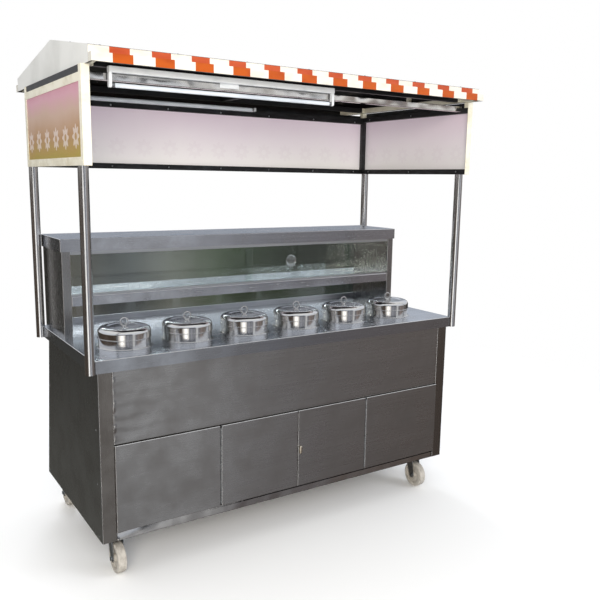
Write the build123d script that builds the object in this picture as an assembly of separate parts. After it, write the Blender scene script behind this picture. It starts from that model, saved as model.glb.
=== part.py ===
from build123d import *
import math
import os

# Pani puri counter: a wheeled steel counter with six lidded pots, a glazed showcase and a printed canopy.
# Sizes are in millimetres. The origin is on the floor under the middle of the roof, +Z is up,
# the doors face -Y and +X is to the right of a person who faces the doors.

# Overall sizes
counter_length = 1829.0
counter_depth = 762.0
counter_height = 920.0
serving_height = 713.0
canopy_panel_height = 315.0
roof_gap = 25.0
fascia_height = 57.0
ridge_rise = 82.0
front_overhang = 95.0
rear_overhang = 213.0
tier_step = 33.0
tier_height = 30.0
ridge_setback = 380.0

# Sheet and tube stock
sheet = 1.2
frame_tube = 25.0
tube_wall = 1.5
tube_round = 2.0
bend_radius = 2.5
roof_tube = 20.0
overcut = 1.0

# Countertop and cabinet
apron_height = 50.0
cabinet_side_inset = 17.5
cabinet_front_inset = 12.0
cabinet_rear_inset = 44.0
foot_reach = 120.0
cladding_lap = 20.0
stile_width = 55.0
bottom_rail_height = 36.0
door_height = 357.0
door_depth = 18.0
door_proud = 8.0
panel_gap = 0.5
door_gap = 3.0
hinge_line = 386.0

# Piano hinges
hinge_gap = 7.0
leaf_thickness = 1.5
leaf_width = 13.0
leaf_end_margin = 9.0
knuckle_side_gap = 0.3
knuckle_count = 9
knuckle_clearance = 0.6
hinge_pin_radius = 1.5
seat_clearance = 0.02
running_clearance = 0.05

# Turn latch on the right door
latch_offset = 12.0
latch_drop = 184.0
latch_length = 36.0
latch_width = 14.0
latch_thickness = 4.0
latch_pin_radius = 3.0
latch_washer_radius = 8.0
latch_washer = 2.0
latch_clearance = 0.3
latch_head_radius = 6.0

# Castors
castor_height = 181.0
castor_side_inset = 87.0
castor_front_inset = 120.0
castor_rear_inset = 48.0
castor_plate_length = 100.0
castor_plate_width = 85.0
castor_plate = 4.0
castor_bolt_span_x = 76.0
castor_bolt_span_y = 60.0
castor_bolt_radius = 4.0
castor_bolt_head = 5.5
castor_bolt_head_radius = 7.0
race_radius = 32.0
race_height = 5.0
race_clearance = 0.3
crown_radius = 30.0
crown_height = 6.0
king_pin_radius = 6.0
wheel_diameter = 125.0
wheel_width = 36.0
wheel_tread_round = 5.0
wheel_recess = 9.0
wheel_rim = 17.0
hub_radius = 17.0
hub_length = 43.0
fork_gap = 44.0
fork_plate = 4.0
fork_foot_radius = 15.0
fork_crown_half = 24.0
castor_trail = 32.0
castor_headings = (0, 180)
axle_radius = 5.0
axle_head_radius = 8.5
axle_head = 6.0

# Pots and lids
pot_count = 6
pot_left_margin = 194.0
pot_right_margin = 250.0
pot_setback = 208.0
pot_radius = 105.0
pot_wall = 1.0
pot_rise = 65.0
pot_drop = 160.0
pot_base_round = 22.0
pot_hole_clearance = 1.5
collar_width = 8.0
collar_height = 3.0
lid_clearance = 1.2
lid_skirt = 24.0
lid_shoulder_drop = 5.8
lid_shoulder_steps = 6
lid_crest_rise = 14.2
lid_crest_inset = 19.0
lid_well_radius = 60.0
lid_well_slope = 12.0
lid_well_depth = 9.0
lid_bead = 1.5
lid_bead_height = 4.0
ring_radius = 16.0
ring_wire = 2.6
ring_foot_width = 12.0
ring_foot_height = 3.0

# Corner posts
post_diameter = 38.0
post_wall = 1.5
post_side_offset = 10.0
post_front_setback = 6.0
post_rear_setback = 11.0
spigot_length = 60.0
spigot_wall = 2.5
spigot_clearance = 0.2
notch_clearance = 0.3

# Showcase
showcase_setback = 450.0
showcase_rear_gap = 5.0
showcase_post_gap = 2.5
showcase_end_width = 36.0
showcase_height = 418.0
showcase_top_rail = 54.0
showcase_top_overhang = 6.0
showcase_lip = 34.0
shelf_rise = 173.0
shelf_rail = 42.0
track_fin = 2.0
track_base = 1.5
track_bottom_height = 8.0
track_top_height = 14.0
track_setback = 4.0
pane_thickness = 5.0
pane_side_gap = 1.0
pane_overlap = 40.0
pane_end_gap = 1.5
pane_running_gap = 0.5
pane_lift_gap = 2.0
pull_radius = 30.0
pull_thickness = 5.0
pull_offset = 236.0
pull_rise = 101.0
sill_height = 25.0
sill_width = 13.0
sill_groove = 5.0
rear_glass_thickness = 5.0
rear_glass_setback = 12.0

# Canopy
angle_leg = 30.0
angle_wall = 2.0
sign_thickness = 3.0
canopy_rail = 30.0
canopy_back_tube = 35.0
back_strip_height = 12.0
canopy_side_reach = 11.5
canopy_front_reach = 56.0
canopy_rear_reach = 39.0
beam_rise = 7.0
gable_lip = 12.0
fascia_lip = 15.0

# Lights
lamp_radius = 8.0
holder_length = 10.0
front_light_gap = 71.5
front_light_length = 965.0
front_batten_depth = 28.0
front_batten_height = 21.0
front_holder_radius = 9.0
front_lamp_drop = 42.0
light_bracket = 2.0
light_bracket_length = 82.0
light_bracket_drop = 16.0
rear_light_gap = 90.5
rear_light_length = 995.0
rear_batten_depth = 25.0
rear_batten_height = 18.0
rear_holder_depth = 18.0
rear_light_rise = 6.0

# Places worked out from the sizes above
roof_depth = front_overhang + counter_depth + rear_overhang
counter_front = -roof_depth / 2 + front_overhang
counter_rear = counter_front + counter_depth
counter_half = counter_length / 2
counter_sheet_underside = counter_height - sheet
apron_bottom = counter_height - apron_height
cabinet_front = counter_front + cabinet_front_inset
cabinet_rear = counter_rear - cabinet_rear_inset
cabinet_half = counter_half - cabinet_side_inset
cabinet_bottom = castor_height
frame_half = cabinet_half - sheet
stile_inner = frame_half - stile_width
cladding_top = apron_bottom + cladding_lap
backing = cabinet_front + door_depth - door_proud
door_face = cabinet_front - door_proud
door_bottom = cabinet_bottom + bottom_rail_height + panel_gap
door_top = door_bottom + door_height
floor_level = cabinet_bottom + frame_tube
post_x = counter_half + post_side_offset
post_radius = post_diameter / 2
knuckle_radius = hinge_gap / 2 - knuckle_side_gap
post_rows = (counter_front + post_front_setback, counter_rear - post_rear_setback)
roof_half = post_x
roof_front = counter_front - front_overhang
roof_rear = counter_rear + rear_overhang
ridge = counter_front + ridge_setback
canopy_underside = counter_height + serving_height
canopy_top = canopy_underside + canopy_panel_height
eave_height = canopy_top + roof_gap
eave_top = eave_height + fascia_height
ridge_height = eave_top + ridge_rise
beam_top = canopy_top + beam_rise
showcase_half_length = post_x - post_radius - showcase_post_gap - showcase_top_overhang
showcase_top_height = counter_height + showcase_height
shelf_height = counter_height + shelf_rise
track_groove = pane_thickness + 2 * pane_side_gap
pot_bottom = counter_height - pot_drop
pot_rim = counter_height + pot_rise
pot_row = counter_front + pot_setback
lid_start = pot_rim - lid_shoulder_drop
lid_hem = lid_start - lid_skirt
lid_crest = pot_rim + lid_crest_rise
lid_well = lid_crest - lid_well_depth
wheel_radius = wheel_diameter / 2
castor_x = cabinet_half - castor_side_inset
castor_rows = (cabinet_front + castor_front_inset, cabinet_rear + foot_reach - castor_rear_inset)


def block(x, y, z):
    """A box given by its low and high ends along each axis."""
    size = [high - low for low, high in (x, y, z)]
    centre = [(high + low) / 2 for low, high in (x, y, z)]
    return Pos(*centre) * Box(*size)


def tube_along(axis, x, y, z, wall=tube_wall):
    """A rectangular tube with rounded corners, which fills a box and is open at both ends of one axis."""
    inner = [(low + wall, high - wall) for low, high in (x, y, z)]
    low, high = (x, y, z)[axis]
    inner[axis] = (low - overcut, high + overcut)
    long_axis = (Axis.X, Axis.Y, Axis.Z)[axis]
    outer = block(x, y, z)
    outer = fillet(outer.edges().filter_by(long_axis), tube_round)
    return outer - block(*inner)


def folded_block(axis, open_side, x, y, z, radius):
    """A box with every edge rounded but those round one open side."""
    solid = block(x, y, z)
    open_end = (x, y, z)[axis][1 if open_side > 0 else 0]
    folds = [edge for edge in solid.edges() if abs(tuple(edge.center())[axis] - open_end) > radius]
    return fillet(folds, radius)


def tray(axis, open_side, x, y, z, wall=sheet):
    """A folded sheet tray that fills a box and is open towards one side of one axis."""
    inner = [(low + wall, high - wall) for low, high in (x, y, z)]
    low, high = (x, y, z)[axis]
    inner[axis] = (low + wall, high + overcut) if open_side > 0 else (low - overcut, high - wall)
    outer = folded_block(axis, open_side, x, y, z, bend_radius)
    return outer - folded_block(axis, open_side, *inner, bend_radius - wall)


def upright(radius, z):
    """A round bar along Z, standing on the origin's axis."""
    low, high = z
    return Pos(0, 0, low) * Cylinder(radius, high - low, align=(Align.CENTER, Align.CENTER, Align.MIN))


def bar_along_x(radius, x):
    """A round bar along X, on the origin's axis."""
    low, high = x
    return Pos((low + high) / 2, 0, 0) * Rot(0, 90, 0) * Cylinder(radius, high - low)


def bar_along_y(radius, y):
    """A round bar along Y, on the origin's axis."""
    low, high = y
    return Pos(0, (low + high) / 2, 0) * Rot(90, 0, 0) * Cylinder(radius, high - low)


def profile_along_x(points, x):
    """A closed outline of (y, z) points, drawn out along X."""
    low, high = x
    face = make_face(Polyline(*points, close=True))
    return Pos(low, 0, 0) * extrude(Plane.YZ * face, high - low)


def spun(points):
    """A closed outline of (radius, z) points, turned about Z."""
    face = make_face(Polyline(*points, close=True))
    return revolve(Plane.XZ * face, Axis.Z)


def both_ends(shape):
    """A shape and its mirror image at the other end of the counter."""
    return [shape, mirror(shape, Plane.YZ)]


def at_corners(shape, half_width, rows):
    """Four copies of a shape, one at each corner."""
    return [Pos(x, y, 0) * shape for y in rows for x in (-half_width, half_width)]


# Cabinet


def back_at(z):
    """The outer face along Y of the leaning back, at a height."""
    share = (cladding_top - z) / (cladding_top - cabinet_bottom)
    return cabinet_rear + share * foot_reach


def along_back(x, depth, z):
    """A bar or sheet that leans with the back, between two depths from its outer face."""
    near, far = depth
    low, high = z
    outline = [
        (back_at(low) - far, low),
        (back_at(low) - near, low),
        (back_at(high) - near, high),
        (back_at(high) - far, high),
    ]
    return profile_along_x(outline, x)


def rear_upright(x, z):
    """The leaning tube in a rear corner of the frame."""
    bore_x = (x[0] + tube_wall, x[1] - tube_wall)
    bore_z = (z[0] - overcut, z[1] + overcut)
    outer = along_back(x, (sheet, sheet + frame_tube), z)
    outer = fillet([edge for edge in outer.edges() if edge.length > 2 * frame_tube], tube_round)
    return outer - along_back(bore_x, (sheet + tube_wall, sheet + frame_tube - tube_wall), bore_z)


def cabinet_frame():
    """The welded tube skeleton: stiles, leaning rear uprights, mid uprights, rails and castor bearers."""
    upright_z = (cabinet_bottom, counter_sheet_underside)
    front_y = (cabinet_front, cabinet_front + frame_tube)
    backing_y = (backing, backing + frame_tube)
    side_x = (frame_half - frame_tube, frame_half)
    between_x = (-side_x[0], side_x[0])
    low_z = (cabinet_bottom, floor_level)
    high_z = (counter_sheet_underside - frame_tube, counter_sheet_underside)
    middle_z = (door_top - frame_tube / 2, door_top + frame_tube / 2)
    mid_x = (hinge_line - frame_tube / 2, hinge_line + frame_tube / 2)
    bearer_x = (castor_x - castor_plate_length / 2, castor_x + castor_plate_length / 2)
    corner = along_back(side_x, (0, sheet + frame_tube), (cabinet_bottom - overcut, counter_height))
    pieces = []
    pieces += both_ends(tube_along(2, (stile_inner, frame_half), front_y, upright_z))
    pieces += both_ends(rear_upright(side_x, upright_z))
    pieces += both_ends(tube_along(2, mid_x, backing_y, (door_bottom - panel_gap, high_z[0])))
    for z in (low_z, high_z):
        rear = back_at(z[1]) - sheet
        pieces += both_ends(tube_along(1, side_x, (front_y[1], rear), z) - corner)
        pieces.append(tube_along(0, between_x, (rear - frame_tube, rear), z))
    bearer_y = (front_y[1], back_at(low_z[1]) - sheet - frame_tube)
    pieces += both_ends(tube_along(1, bearer_x, bearer_y, low_z))
    pieces += both_ends(tube_along(0, (mid_x[1], stile_inner), backing_y, middle_z))
    pieces.append(tube_along(0, (-mid_x[0], mid_x[0]), backing_y, middle_z))
    pieces.append(tube_along(0, (-stile_inner, stile_inner), backing_y, high_z))
    return Compound(pieces)


def cabinet_floor():
    """The floor sheet, notched round the rear uprights."""
    rear = back_at(floor_level + sheet) - sheet
    plate = block(
        (-frame_half, frame_half),
        (cabinet_front + frame_tube, rear),
        (floor_level, floor_level + sheet),
    )
    corner = block(
        (frame_half - frame_tube, frame_half + overcut),
        (rear - frame_tube, rear + overcut),
        (floor_level - overcut, floor_level + sheet + overcut),
    )
    for notch in both_ends(corner):
        plate = plate - notch
    return plate


def cabinet_end_panels():
    """The plain end sheets, cut to the slope of the back."""
    outline = [
        (cabinet_front, cabinet_bottom),
        (back_at(cabinet_bottom), cabinet_bottom),
        (back_at(cladding_top), cladding_top),
        (cabinet_front, cladding_top),
    ]
    return Compound(both_ends(profile_along_x(outline, (frame_half, cabinet_half))))


def cabinet_back_panel():
    """The plain leaning back sheet."""
    return along_back((-frame_half, frame_half), (0, sheet), (cabinet_bottom, cladding_top))


def front_upper_panel():
    """The plain panel above the doors, folded back along all four edges."""
    x = (-stile_inner + panel_gap, stile_inner - panel_gap)
    return tray(1, 1, x, (cabinet_front, backing), (door_top + door_gap, cladding_top))


def fixed_front_panels():
    """The fixed panels beside the doors."""
    x = (hinge_line + hinge_gap / 2, stile_inner - panel_gap)
    return Compound(both_ends(tray(1, 1, x, (door_face, backing), (door_bottom, door_top))))


def bottom_rail():
    """The rail under the doors."""
    return tube_along(
        0,
        (-stile_inner, stile_inner),
        (cabinet_front, cabinet_front + frame_tube),
        (cabinet_bottom, cabinet_bottom + bottom_rail_height),
    )


def door_pan():
    """The right door as a folded tray, open at the back."""
    x = (door_gap / 2, hinge_line - hinge_gap / 2)
    return tray(1, 1, x, (door_face, backing - panel_gap), (door_bottom + panel_gap, door_top))


def latch_place():
    """Where the latch turns, on the face of the right door."""
    return Pos(latch_offset, door_face, door_top - latch_drop)


def left_door():
    """The left door."""
    return mirror(door_pan(), Plane.YZ)


def right_door():
    """The right door, bored for the latch, with the latch's washer."""
    bore = latch_place() * bar_along_y(latch_pin_radius + running_clearance, (-door_depth, door_depth))
    washer = latch_place() * bar_along_y(latch_washer_radius, (-latch_washer, 0))
    return Compound([door_pan() - bore, washer - bore])


def turn_latch():
    """The oval turn button, its pin through the door and the head behind the sheet."""
    back = -latch_washer - latch_clearance
    straight = latch_length - latch_width
    outline = SlotCenterToCenter(straight, latch_width, rotation=90)
    button = extrude(Plane.XZ * outline, latch_thickness)
    button = Pos(0, back, 0) * button
    pin = bar_along_y(latch_pin_radius, (back - latch_thickness / 2, sheet + latch_clearance + latch_washer))
    head = bar_along_y(latch_head_radius, (sheet + latch_clearance, sheet + latch_clearance + latch_washer))
    return latch_place() * (button + pin + head)


def hinge_leaf(side, first_knuckle, bore_clearance):
    """One leaf of the right-hand piano hinge: a strip with every second knuckle round the pin."""
    length = door_height - 2 * leaf_end_margin
    bottom = door_bottom + leaf_end_margin
    pitch = length / knuckle_count
    outer = side * hinge_gap / 2
    inner = side * (hinge_gap / 2 - leaf_thickness)
    strip_x = (min(outer, inner), max(outer, inner))
    strip_front = knuckle_radius + knuckle_clearance
    leaf = block(strip_x, (strip_front, strip_front + leaf_width), (bottom, bottom + length))
    for index in range(first_knuckle, knuckle_count, 2):
        start = bottom + index * pitch + knuckle_clearance / 2
        z = (start, start + pitch - knuckle_clearance)
        leaf = leaf + block(strip_x, (0, strip_front + overcut), z) + upright(knuckle_radius, z)
    leaf = leaf - upright(hinge_pin_radius + bore_clearance, (bottom - overcut, bottom + length + overcut))
    return Pos(hinge_line, door_face, 0) * leaf


def hinge_pin():
    """The pin of the right-hand hinge."""
    bottom = door_bottom + leaf_end_margin
    return Pos(hinge_line, door_face, 0) * upright(hinge_pin_radius, (bottom, door_top - leaf_end_margin))


def hinge_fixed_leaves():
    """The leaves on the fixed panels, with the hinge pins they hold."""
    return Compound(both_ends(hinge_leaf(1, 0, seat_clearance)) + both_ends(hinge_pin()))


def right_door_leaf():
    """The hinge leaf on the right door."""
    return hinge_leaf(-1, 1, running_clearance)


def left_door_leaf():
    """The hinge leaf on the left door."""
    return mirror(right_door_leaf(), Plane.YZ)


# Countertop, posts and pots


def pot_places():
    """The middle of each pot along X, spread evenly between the margins."""
    first = -counter_half + pot_left_margin
    last = counter_half - pot_right_margin
    pitch = (last - first) / (pot_count - 1)
    return [first + index * pitch for index in range(pot_count)]


def countertop():
    """The folded top with a hole for each pot, and its corners cut away for the post sockets."""
    top = tray(
        2,
        -1,
        (-counter_half, counter_half),
        (counter_front, counter_rear),
        (apron_bottom, counter_height),
    )
    through = (apron_bottom - overcut, counter_height + overcut)
    for x in pot_places():
        top = top - Pos(x, pot_row, 0) * upright(pot_radius + pot_hole_clearance, through)
    for notch in at_corners(upright(post_radius + notch_clearance, through), post_x, post_rows):
        top = top - notch
    return top


def post_sockets():
    """A short sleeve at each corner, with a spigot that the post slides over."""
    spigot_radius = post_radius - post_wall - spigot_clearance
    spigot_top = counter_height + spigot_length
    sleeve = upright(post_radius, (apron_bottom, counter_height))
    spigot = upright(spigot_radius, (counter_height, spigot_top))
    bore = upright(spigot_radius - spigot_wall, (apron_bottom - overcut, spigot_top + overcut))
    return Compound(at_corners(sleeve + spigot - bore, post_x, post_rows))


def canopy_posts():
    """The round tubes that carry the canopy, up to the underside of its frame."""
    outer = upright(post_radius, (counter_height, sign_z[0]))
    bore = upright(post_radius - post_wall, (counter_height - overcut, sign_z[0] + overcut))
    return Compound(at_corners(outer - bore, post_x, post_rows))


def pot():
    """A straight pot with a rounded base and a collar that rests on the countertop."""
    outer = upright(pot_radius, (pot_bottom, pot_rim))
    outer = fillet(outer.edges().group_by(Axis.Z)[0], pot_base_round)
    inner = upright(pot_radius - pot_wall, (pot_bottom + pot_wall, pot_rim + overcut))
    inner = fillet(inner.edges().group_by(Axis.Z)[0], pot_base_round - pot_wall)
    collar = upright(pot_radius + collar_width, (counter_height, counter_height + collar_height))
    return outer + collar - inner


def lid_shoulder(edge_radius, crest):
    """Points up the rounded shoulder of a lid, from the top of its skirt to its crest."""
    crest_radius = pot_radius - lid_crest_inset
    points = []
    for step in range(lid_shoulder_steps + 1):
        turn = math.pi / 2 * step / lid_shoulder_steps
        radius = crest_radius + (edge_radius - crest_radius) * math.cos(turn)
        points.append((radius, lid_start + (crest - lid_start) * math.sin(turn)))
    return points


def lid():
    """A pressed lid: skirt with a beaded hem, rounded shoulder and shallow well, with its ring handle."""
    inside = pot_radius + lid_clearance
    outside = inside + pot_wall
    slope_end = lid_well_radius + lid_well_slope
    outer_line = [
        (outside + lid_bead, lid_hem),
        (outside + lid_bead, lid_hem + lid_bead_height),
        (outside, lid_hem + lid_bead_height),
        *lid_shoulder(outside, lid_crest),
        (slope_end, lid_crest),
        (lid_well_radius, lid_well),
        (0, lid_well),
    ]
    inner_line = [
        (inside, lid_hem),
        *lid_shoulder(inside, lid_crest - pot_wall),
        (slope_end, lid_crest - pot_wall),
        (lid_well_radius, lid_well - pot_wall),
        (0, lid_well - pot_wall),
    ]
    foot = block(
        (-ring_foot_width / 2, ring_foot_width / 2),
        (-ring_foot_width / 2, ring_foot_width / 2),
        (lid_well, lid_well + ring_foot_height),
    )
    ring = Rot(90, 0, 0) * Torus(ring_radius, ring_wire)
    ring = Pos(0, 0, lid_well + ring_foot_height + ring_radius) * ring
    return Compound([spun(outer_line + inner_line[::-1]), foot + ring])


# Showcase


def showcase_rear():
    """The back of the showcase along Y."""
    return counter_rear - showcase_rear_gap


def showcase_front():
    """The front of the showcase along Y."""
    return counter_front + showcase_setback


def showcase_inner():
    """Half the clear width between the showcase ends."""
    return showcase_half_length - showcase_end_width


def showcase_ends():
    """The hollow folded ends."""
    x = (showcase_inner(), showcase_half_length)
    z = (counter_height, showcase_top_height - bend_radius)
    return Compound(both_ends(tube_along(2, x, (showcase_front(), showcase_rear()), z, sheet)))


def showcase_top():
    """The folded top with a lip turned in along the front and the rear for the glass tracks."""
    half = showcase_half_length + showcase_top_overhang
    front = showcase_front() - showcase_top_overhang
    rear = showcase_rear()
    under = showcase_top_height - showcase_top_rail
    inner = showcase_inner()
    top = tray(2, -1, (-half, half), (front, rear + sheet), (under, showcase_top_height))
    front_lip = block((-inner, inner), (front, front + showcase_lip), (under, under + sheet))
    rear_lip = block((-inner, inner), (rear + sheet - showcase_lip, rear + sheet), (under, under + sheet))
    return top + front_lip + rear_lip


def showcase_shelf():
    """The folded shelf between the showcase ends."""
    inner = showcase_inner() - panel_gap
    rear = rear_glass_front() - pane_lift_gap
    return tray(2, -1, (-inner, inner), (showcase_front(), rear), (shelf_height - shelf_rail, shelf_height))


def track(base_z, fin_z):
    """A double channel for two panes, between the showcase ends."""
    half = showcase_inner() - panel_gap
    x = (-half, half)
    front = showcase_front() + track_setback
    pitch = track_fin + track_groove
    channel = block(x, (front, front + 2 * pitch + track_fin), base_z)
    for fin in range(3):
        channel = channel + block(x, (front + fin * pitch, front + fin * pitch + track_fin), fin_z)
    return channel


def pane_tracks():
    """The bottom track on the shelf and the deeper top track under the showcase top."""
    under = showcase_top_height - showcase_top_rail
    floor_z = (shelf_height, shelf_height + track_base)
    bottom = track(floor_z, (shelf_height, shelf_height + track_bottom_height))
    top = track((under - track_base, under), (under - track_top_height, under))
    return Compound([bottom, top])


def pane(x, groove):
    """A sliding pane that stands in one groove of the tracks, counted from the front."""
    groove_front = showcase_front() + track_setback + track_fin + groove * (track_fin + track_groove)
    front = groove_front + pane_side_gap
    under = showcase_top_height - showcase_top_rail
    z = (shelf_height + track_base + pane_running_gap, under - track_base - pane_lift_gap)
    return block(x, (front, front + pane_thickness), z)


def pane_length():
    """Each pane covers half of the showcase and half of the overlap."""
    return showcase_inner() - pane_end_gap + pane_overlap / 2


def left_pane():
    """The pane in the rear groove."""
    start = -showcase_inner() + pane_end_gap
    return pane((start, start + pane_length()), 1)


def right_pane():
    """The pane in the front groove, with its round finger pull."""
    end = showcase_inner() - pane_end_gap
    glass = pane((end - pane_length(), end), 0)
    face = glass.bounding_box().min.Y
    pull_place = Pos(pull_offset, face, shelf_height + pull_rise)
    pull = pull_place * bar_along_y(pull_radius, (-pull_thickness, 0))
    return Compound([glass, pull])


def rear_glass_front():
    """The front face of the fixed rear glass along Y."""
    return showcase_rear() - rear_glass_setback


def rear_glass():
    """The fixed glass at the back, from the sill to the showcase top."""
    inner = showcase_inner() - panel_gap
    front = rear_glass_front()
    z = (counter_height + sill_height - sill_groove, showcase_top_height - showcase_top_rail - track_base)
    return block((-inner, inner), (front, front + rear_glass_thickness), z)


def rear_glass_channels():
    """The sill and the head channel that hold the rear glass."""
    inner = showcase_inner() - panel_gap
    middle = rear_glass_front() + rear_glass_thickness / 2
    y = (middle - sill_width / 2, middle + sill_width / 2)
    under = showcase_top_height - showcase_top_rail
    slot_y = (rear_glass_front(), rear_glass_front() + rear_glass_thickness)
    x = (-inner, inner)
    long_x = (-inner - overcut, inner + overcut)
    sill = block(x, y, (counter_height, counter_height + sill_height))
    sill_top = counter_height + sill_height
    sill = sill - block(long_x, slot_y, (sill_top - sill_groove, sill_top + overcut))
    head = block(x, y, (under - track_top_height, under))
    head = head - block(long_x, slot_y, (under - track_top_height - overcut, under - track_base))
    return Compound([sill, head])


# Canopy


sign_outer_x = post_x + canopy_side_reach
sign_outer_y = post_rows[1] + canopy_rear_reach
frame_outer_x = sign_outer_x + angle_wall
frame_outer_y = sign_outer_y + angle_wall
frame_front_y = post_rows[0] - canopy_front_reach
sign_z = (canopy_underside, canopy_top)


def canopy_corner_angles():
    """The painted corner angles, which run up to the foot of the roof."""
    z = (canopy_underside, eave_height)
    right_x = (frame_outer_x - angle_wall, frame_outer_x)
    face_x = (frame_outer_x - angle_leg, frame_outer_x)
    front = block(right_x, (frame_front_y, frame_front_y + angle_leg), z)
    front = front + block(face_x, (frame_front_y, frame_front_y + angle_wall), z)
    rear = block(right_x, (frame_outer_y - angle_leg, frame_outer_y), z)
    rear = rear + block(face_x, (frame_outer_y - angle_wall, frame_outer_y), z)
    return Compound(both_ends(front) + both_ends(rear))


def canopy_rails():
    """The painted flat rails between the corner angles, outside the sign panels."""
    pieces = []
    side_y = (frame_front_y + angle_leg, frame_outer_y - angle_leg)
    back_x = (-frame_outer_x + angle_leg, frame_outer_x - angle_leg)
    for bottom in (canopy_underside, canopy_top - canopy_rail):
        z = (bottom, bottom + canopy_rail)
        pieces += both_ends(block((sign_outer_x, frame_outer_x), side_y, z))
        pieces.append(block(back_x, (sign_outer_y, frame_outer_y), z))
    return Compound(pieces)


def right_sign_panel():
    """The sign panel at the right end."""
    y = (frame_front_y + angle_wall, sign_outer_y - sign_thickness)
    return block((sign_outer_x - sign_thickness, sign_outer_x), y, sign_z)


def left_sign_panel():
    """The sign panel at the left end."""
    return mirror(right_sign_panel(), Plane.YZ)


def back_sign_panel():
    """The sign panel along the back."""
    return block((-sign_outer_x, sign_outer_x), (sign_outer_y - sign_thickness, sign_outer_y), sign_z)


def canopy_frame():
    """The dark tubes that stand on the posts inside the sign panels, with dark strips above the panels."""
    inner_x = sign_outer_x - sign_thickness
    inner_y = sign_outer_y - sign_thickness
    side_x = (inner_x - frame_tube, inner_x)
    side_y = (frame_front_y + angle_wall, inner_y)
    back_x = (-side_x[0], side_x[0])
    back_y = (inner_y - frame_tube, inner_y)
    low_z = (sign_z[0], sign_z[0] + frame_tube)
    high_side_z = (sign_z[1] - frame_tube, sign_z[1])
    high_back_z = (sign_z[1] - canopy_back_tube, sign_z[1])
    side_strip_z = (sign_z[1], eave_height)
    back_strip_z = (sign_z[1], sign_z[1] + back_strip_height)
    pieces = []
    for z in (low_z, high_side_z):
        pieces += both_ends(tube_along(1, side_x, side_y, z))
    for z in (low_z, high_back_z):
        pieces.append(tube_along(0, back_x, back_y, z))
    pieces += both_ends(tube_along(2, side_x, back_y, (low_z[1], high_side_z[0])))
    pieces += both_ends(block((inner_x, sign_outer_x), side_y, side_strip_z))
    pieces.append(block((-sign_outer_x, sign_outer_x), (inner_y, sign_outer_y), back_strip_z))
    return Compound(pieces)


def front_beam():
    """The bright square tube between the sides of the canopy frame."""
    half = sign_outer_x - sign_thickness - frame_tube
    y = (post_rows[0] - frame_tube / 2, post_rows[0] + frame_tube / 2)
    return tube_along(0, (-half, half), y, (beam_top - frame_tube, beam_top))


# Roof


def roof_underside(y):
    """The height of the underside of the roof sheet at a place along Y."""
    if y < ridge:
        share = (y - roof_front) / (ridge - roof_front)
    else:
        share = (roof_rear - y) / (roof_rear - ridge)
    return eave_top - sheet + share * (ridge_height - eave_top)


def roof_sheet(eave):
    """One slope of the roof, from its eave to the ridge."""
    x = (-roof_half, roof_half)
    outline = [
        (eave, eave_top),
        (ridge, ridge_height),
        (ridge, ridge_height - sheet),
        (eave, eave_top - sheet),
    ]
    return profile_along_x(outline, x)


def roof_sheets():
    """The front and the rear slope."""
    return Compound([roof_sheet(roof_front), roof_sheet(roof_rear)])


def gables():
    """The end sheets of the roof, each with a lip turned in along its foot."""
    front = roof_front + sheet
    rear = roof_rear - sheet
    outline = [
        (front, eave_height),
        (rear, eave_height),
        (rear, roof_underside(rear)),
        (ridge, roof_underside(ridge)),
        (front, roof_underside(front)),
    ]
    gable = profile_along_x(outline, (roof_half - sheet, roof_half))
    lip = block((roof_half - gable_lip, roof_half), (front, rear), (eave_height, eave_height + sheet))
    return Compound(both_ends(gable + lip))


def fascia(face, outward):
    """A stepped fascia: upper tier, ledge, lower tier and a lip turned in, with closed ends."""
    inside = face - outward * sheet
    nose = face + outward * tier_step
    nose_inside = nose - outward * sheet
    lip = nose - outward * fascia_lip
    ledge = eave_height + tier_height
    top = eave_top - sheet
    outline = [
        (face, top),
        (face, ledge),
        (nose, ledge),
        (nose, eave_height),
        (lip, eave_height),
        (lip, eave_height + sheet),
        (nose_inside, eave_height + sheet),
        (nose_inside, ledge - sheet),
        (inside, ledge - sheet),
        (inside, top),
    ]
    cap = [(face, ledge), (nose, ledge), (nose, eave_height), (face, eave_height)]
    sheet_piece = profile_along_x(outline, (-roof_half, roof_half))
    for end in both_ends(profile_along_x(cap, (roof_half - sheet, roof_half))):
        sheet_piece = sheet_piece + end
    return sheet_piece


def fascias():
    """The front and the rear fascia."""
    return Compound([fascia(roof_front, -1), fascia(roof_rear, 1)])


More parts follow.
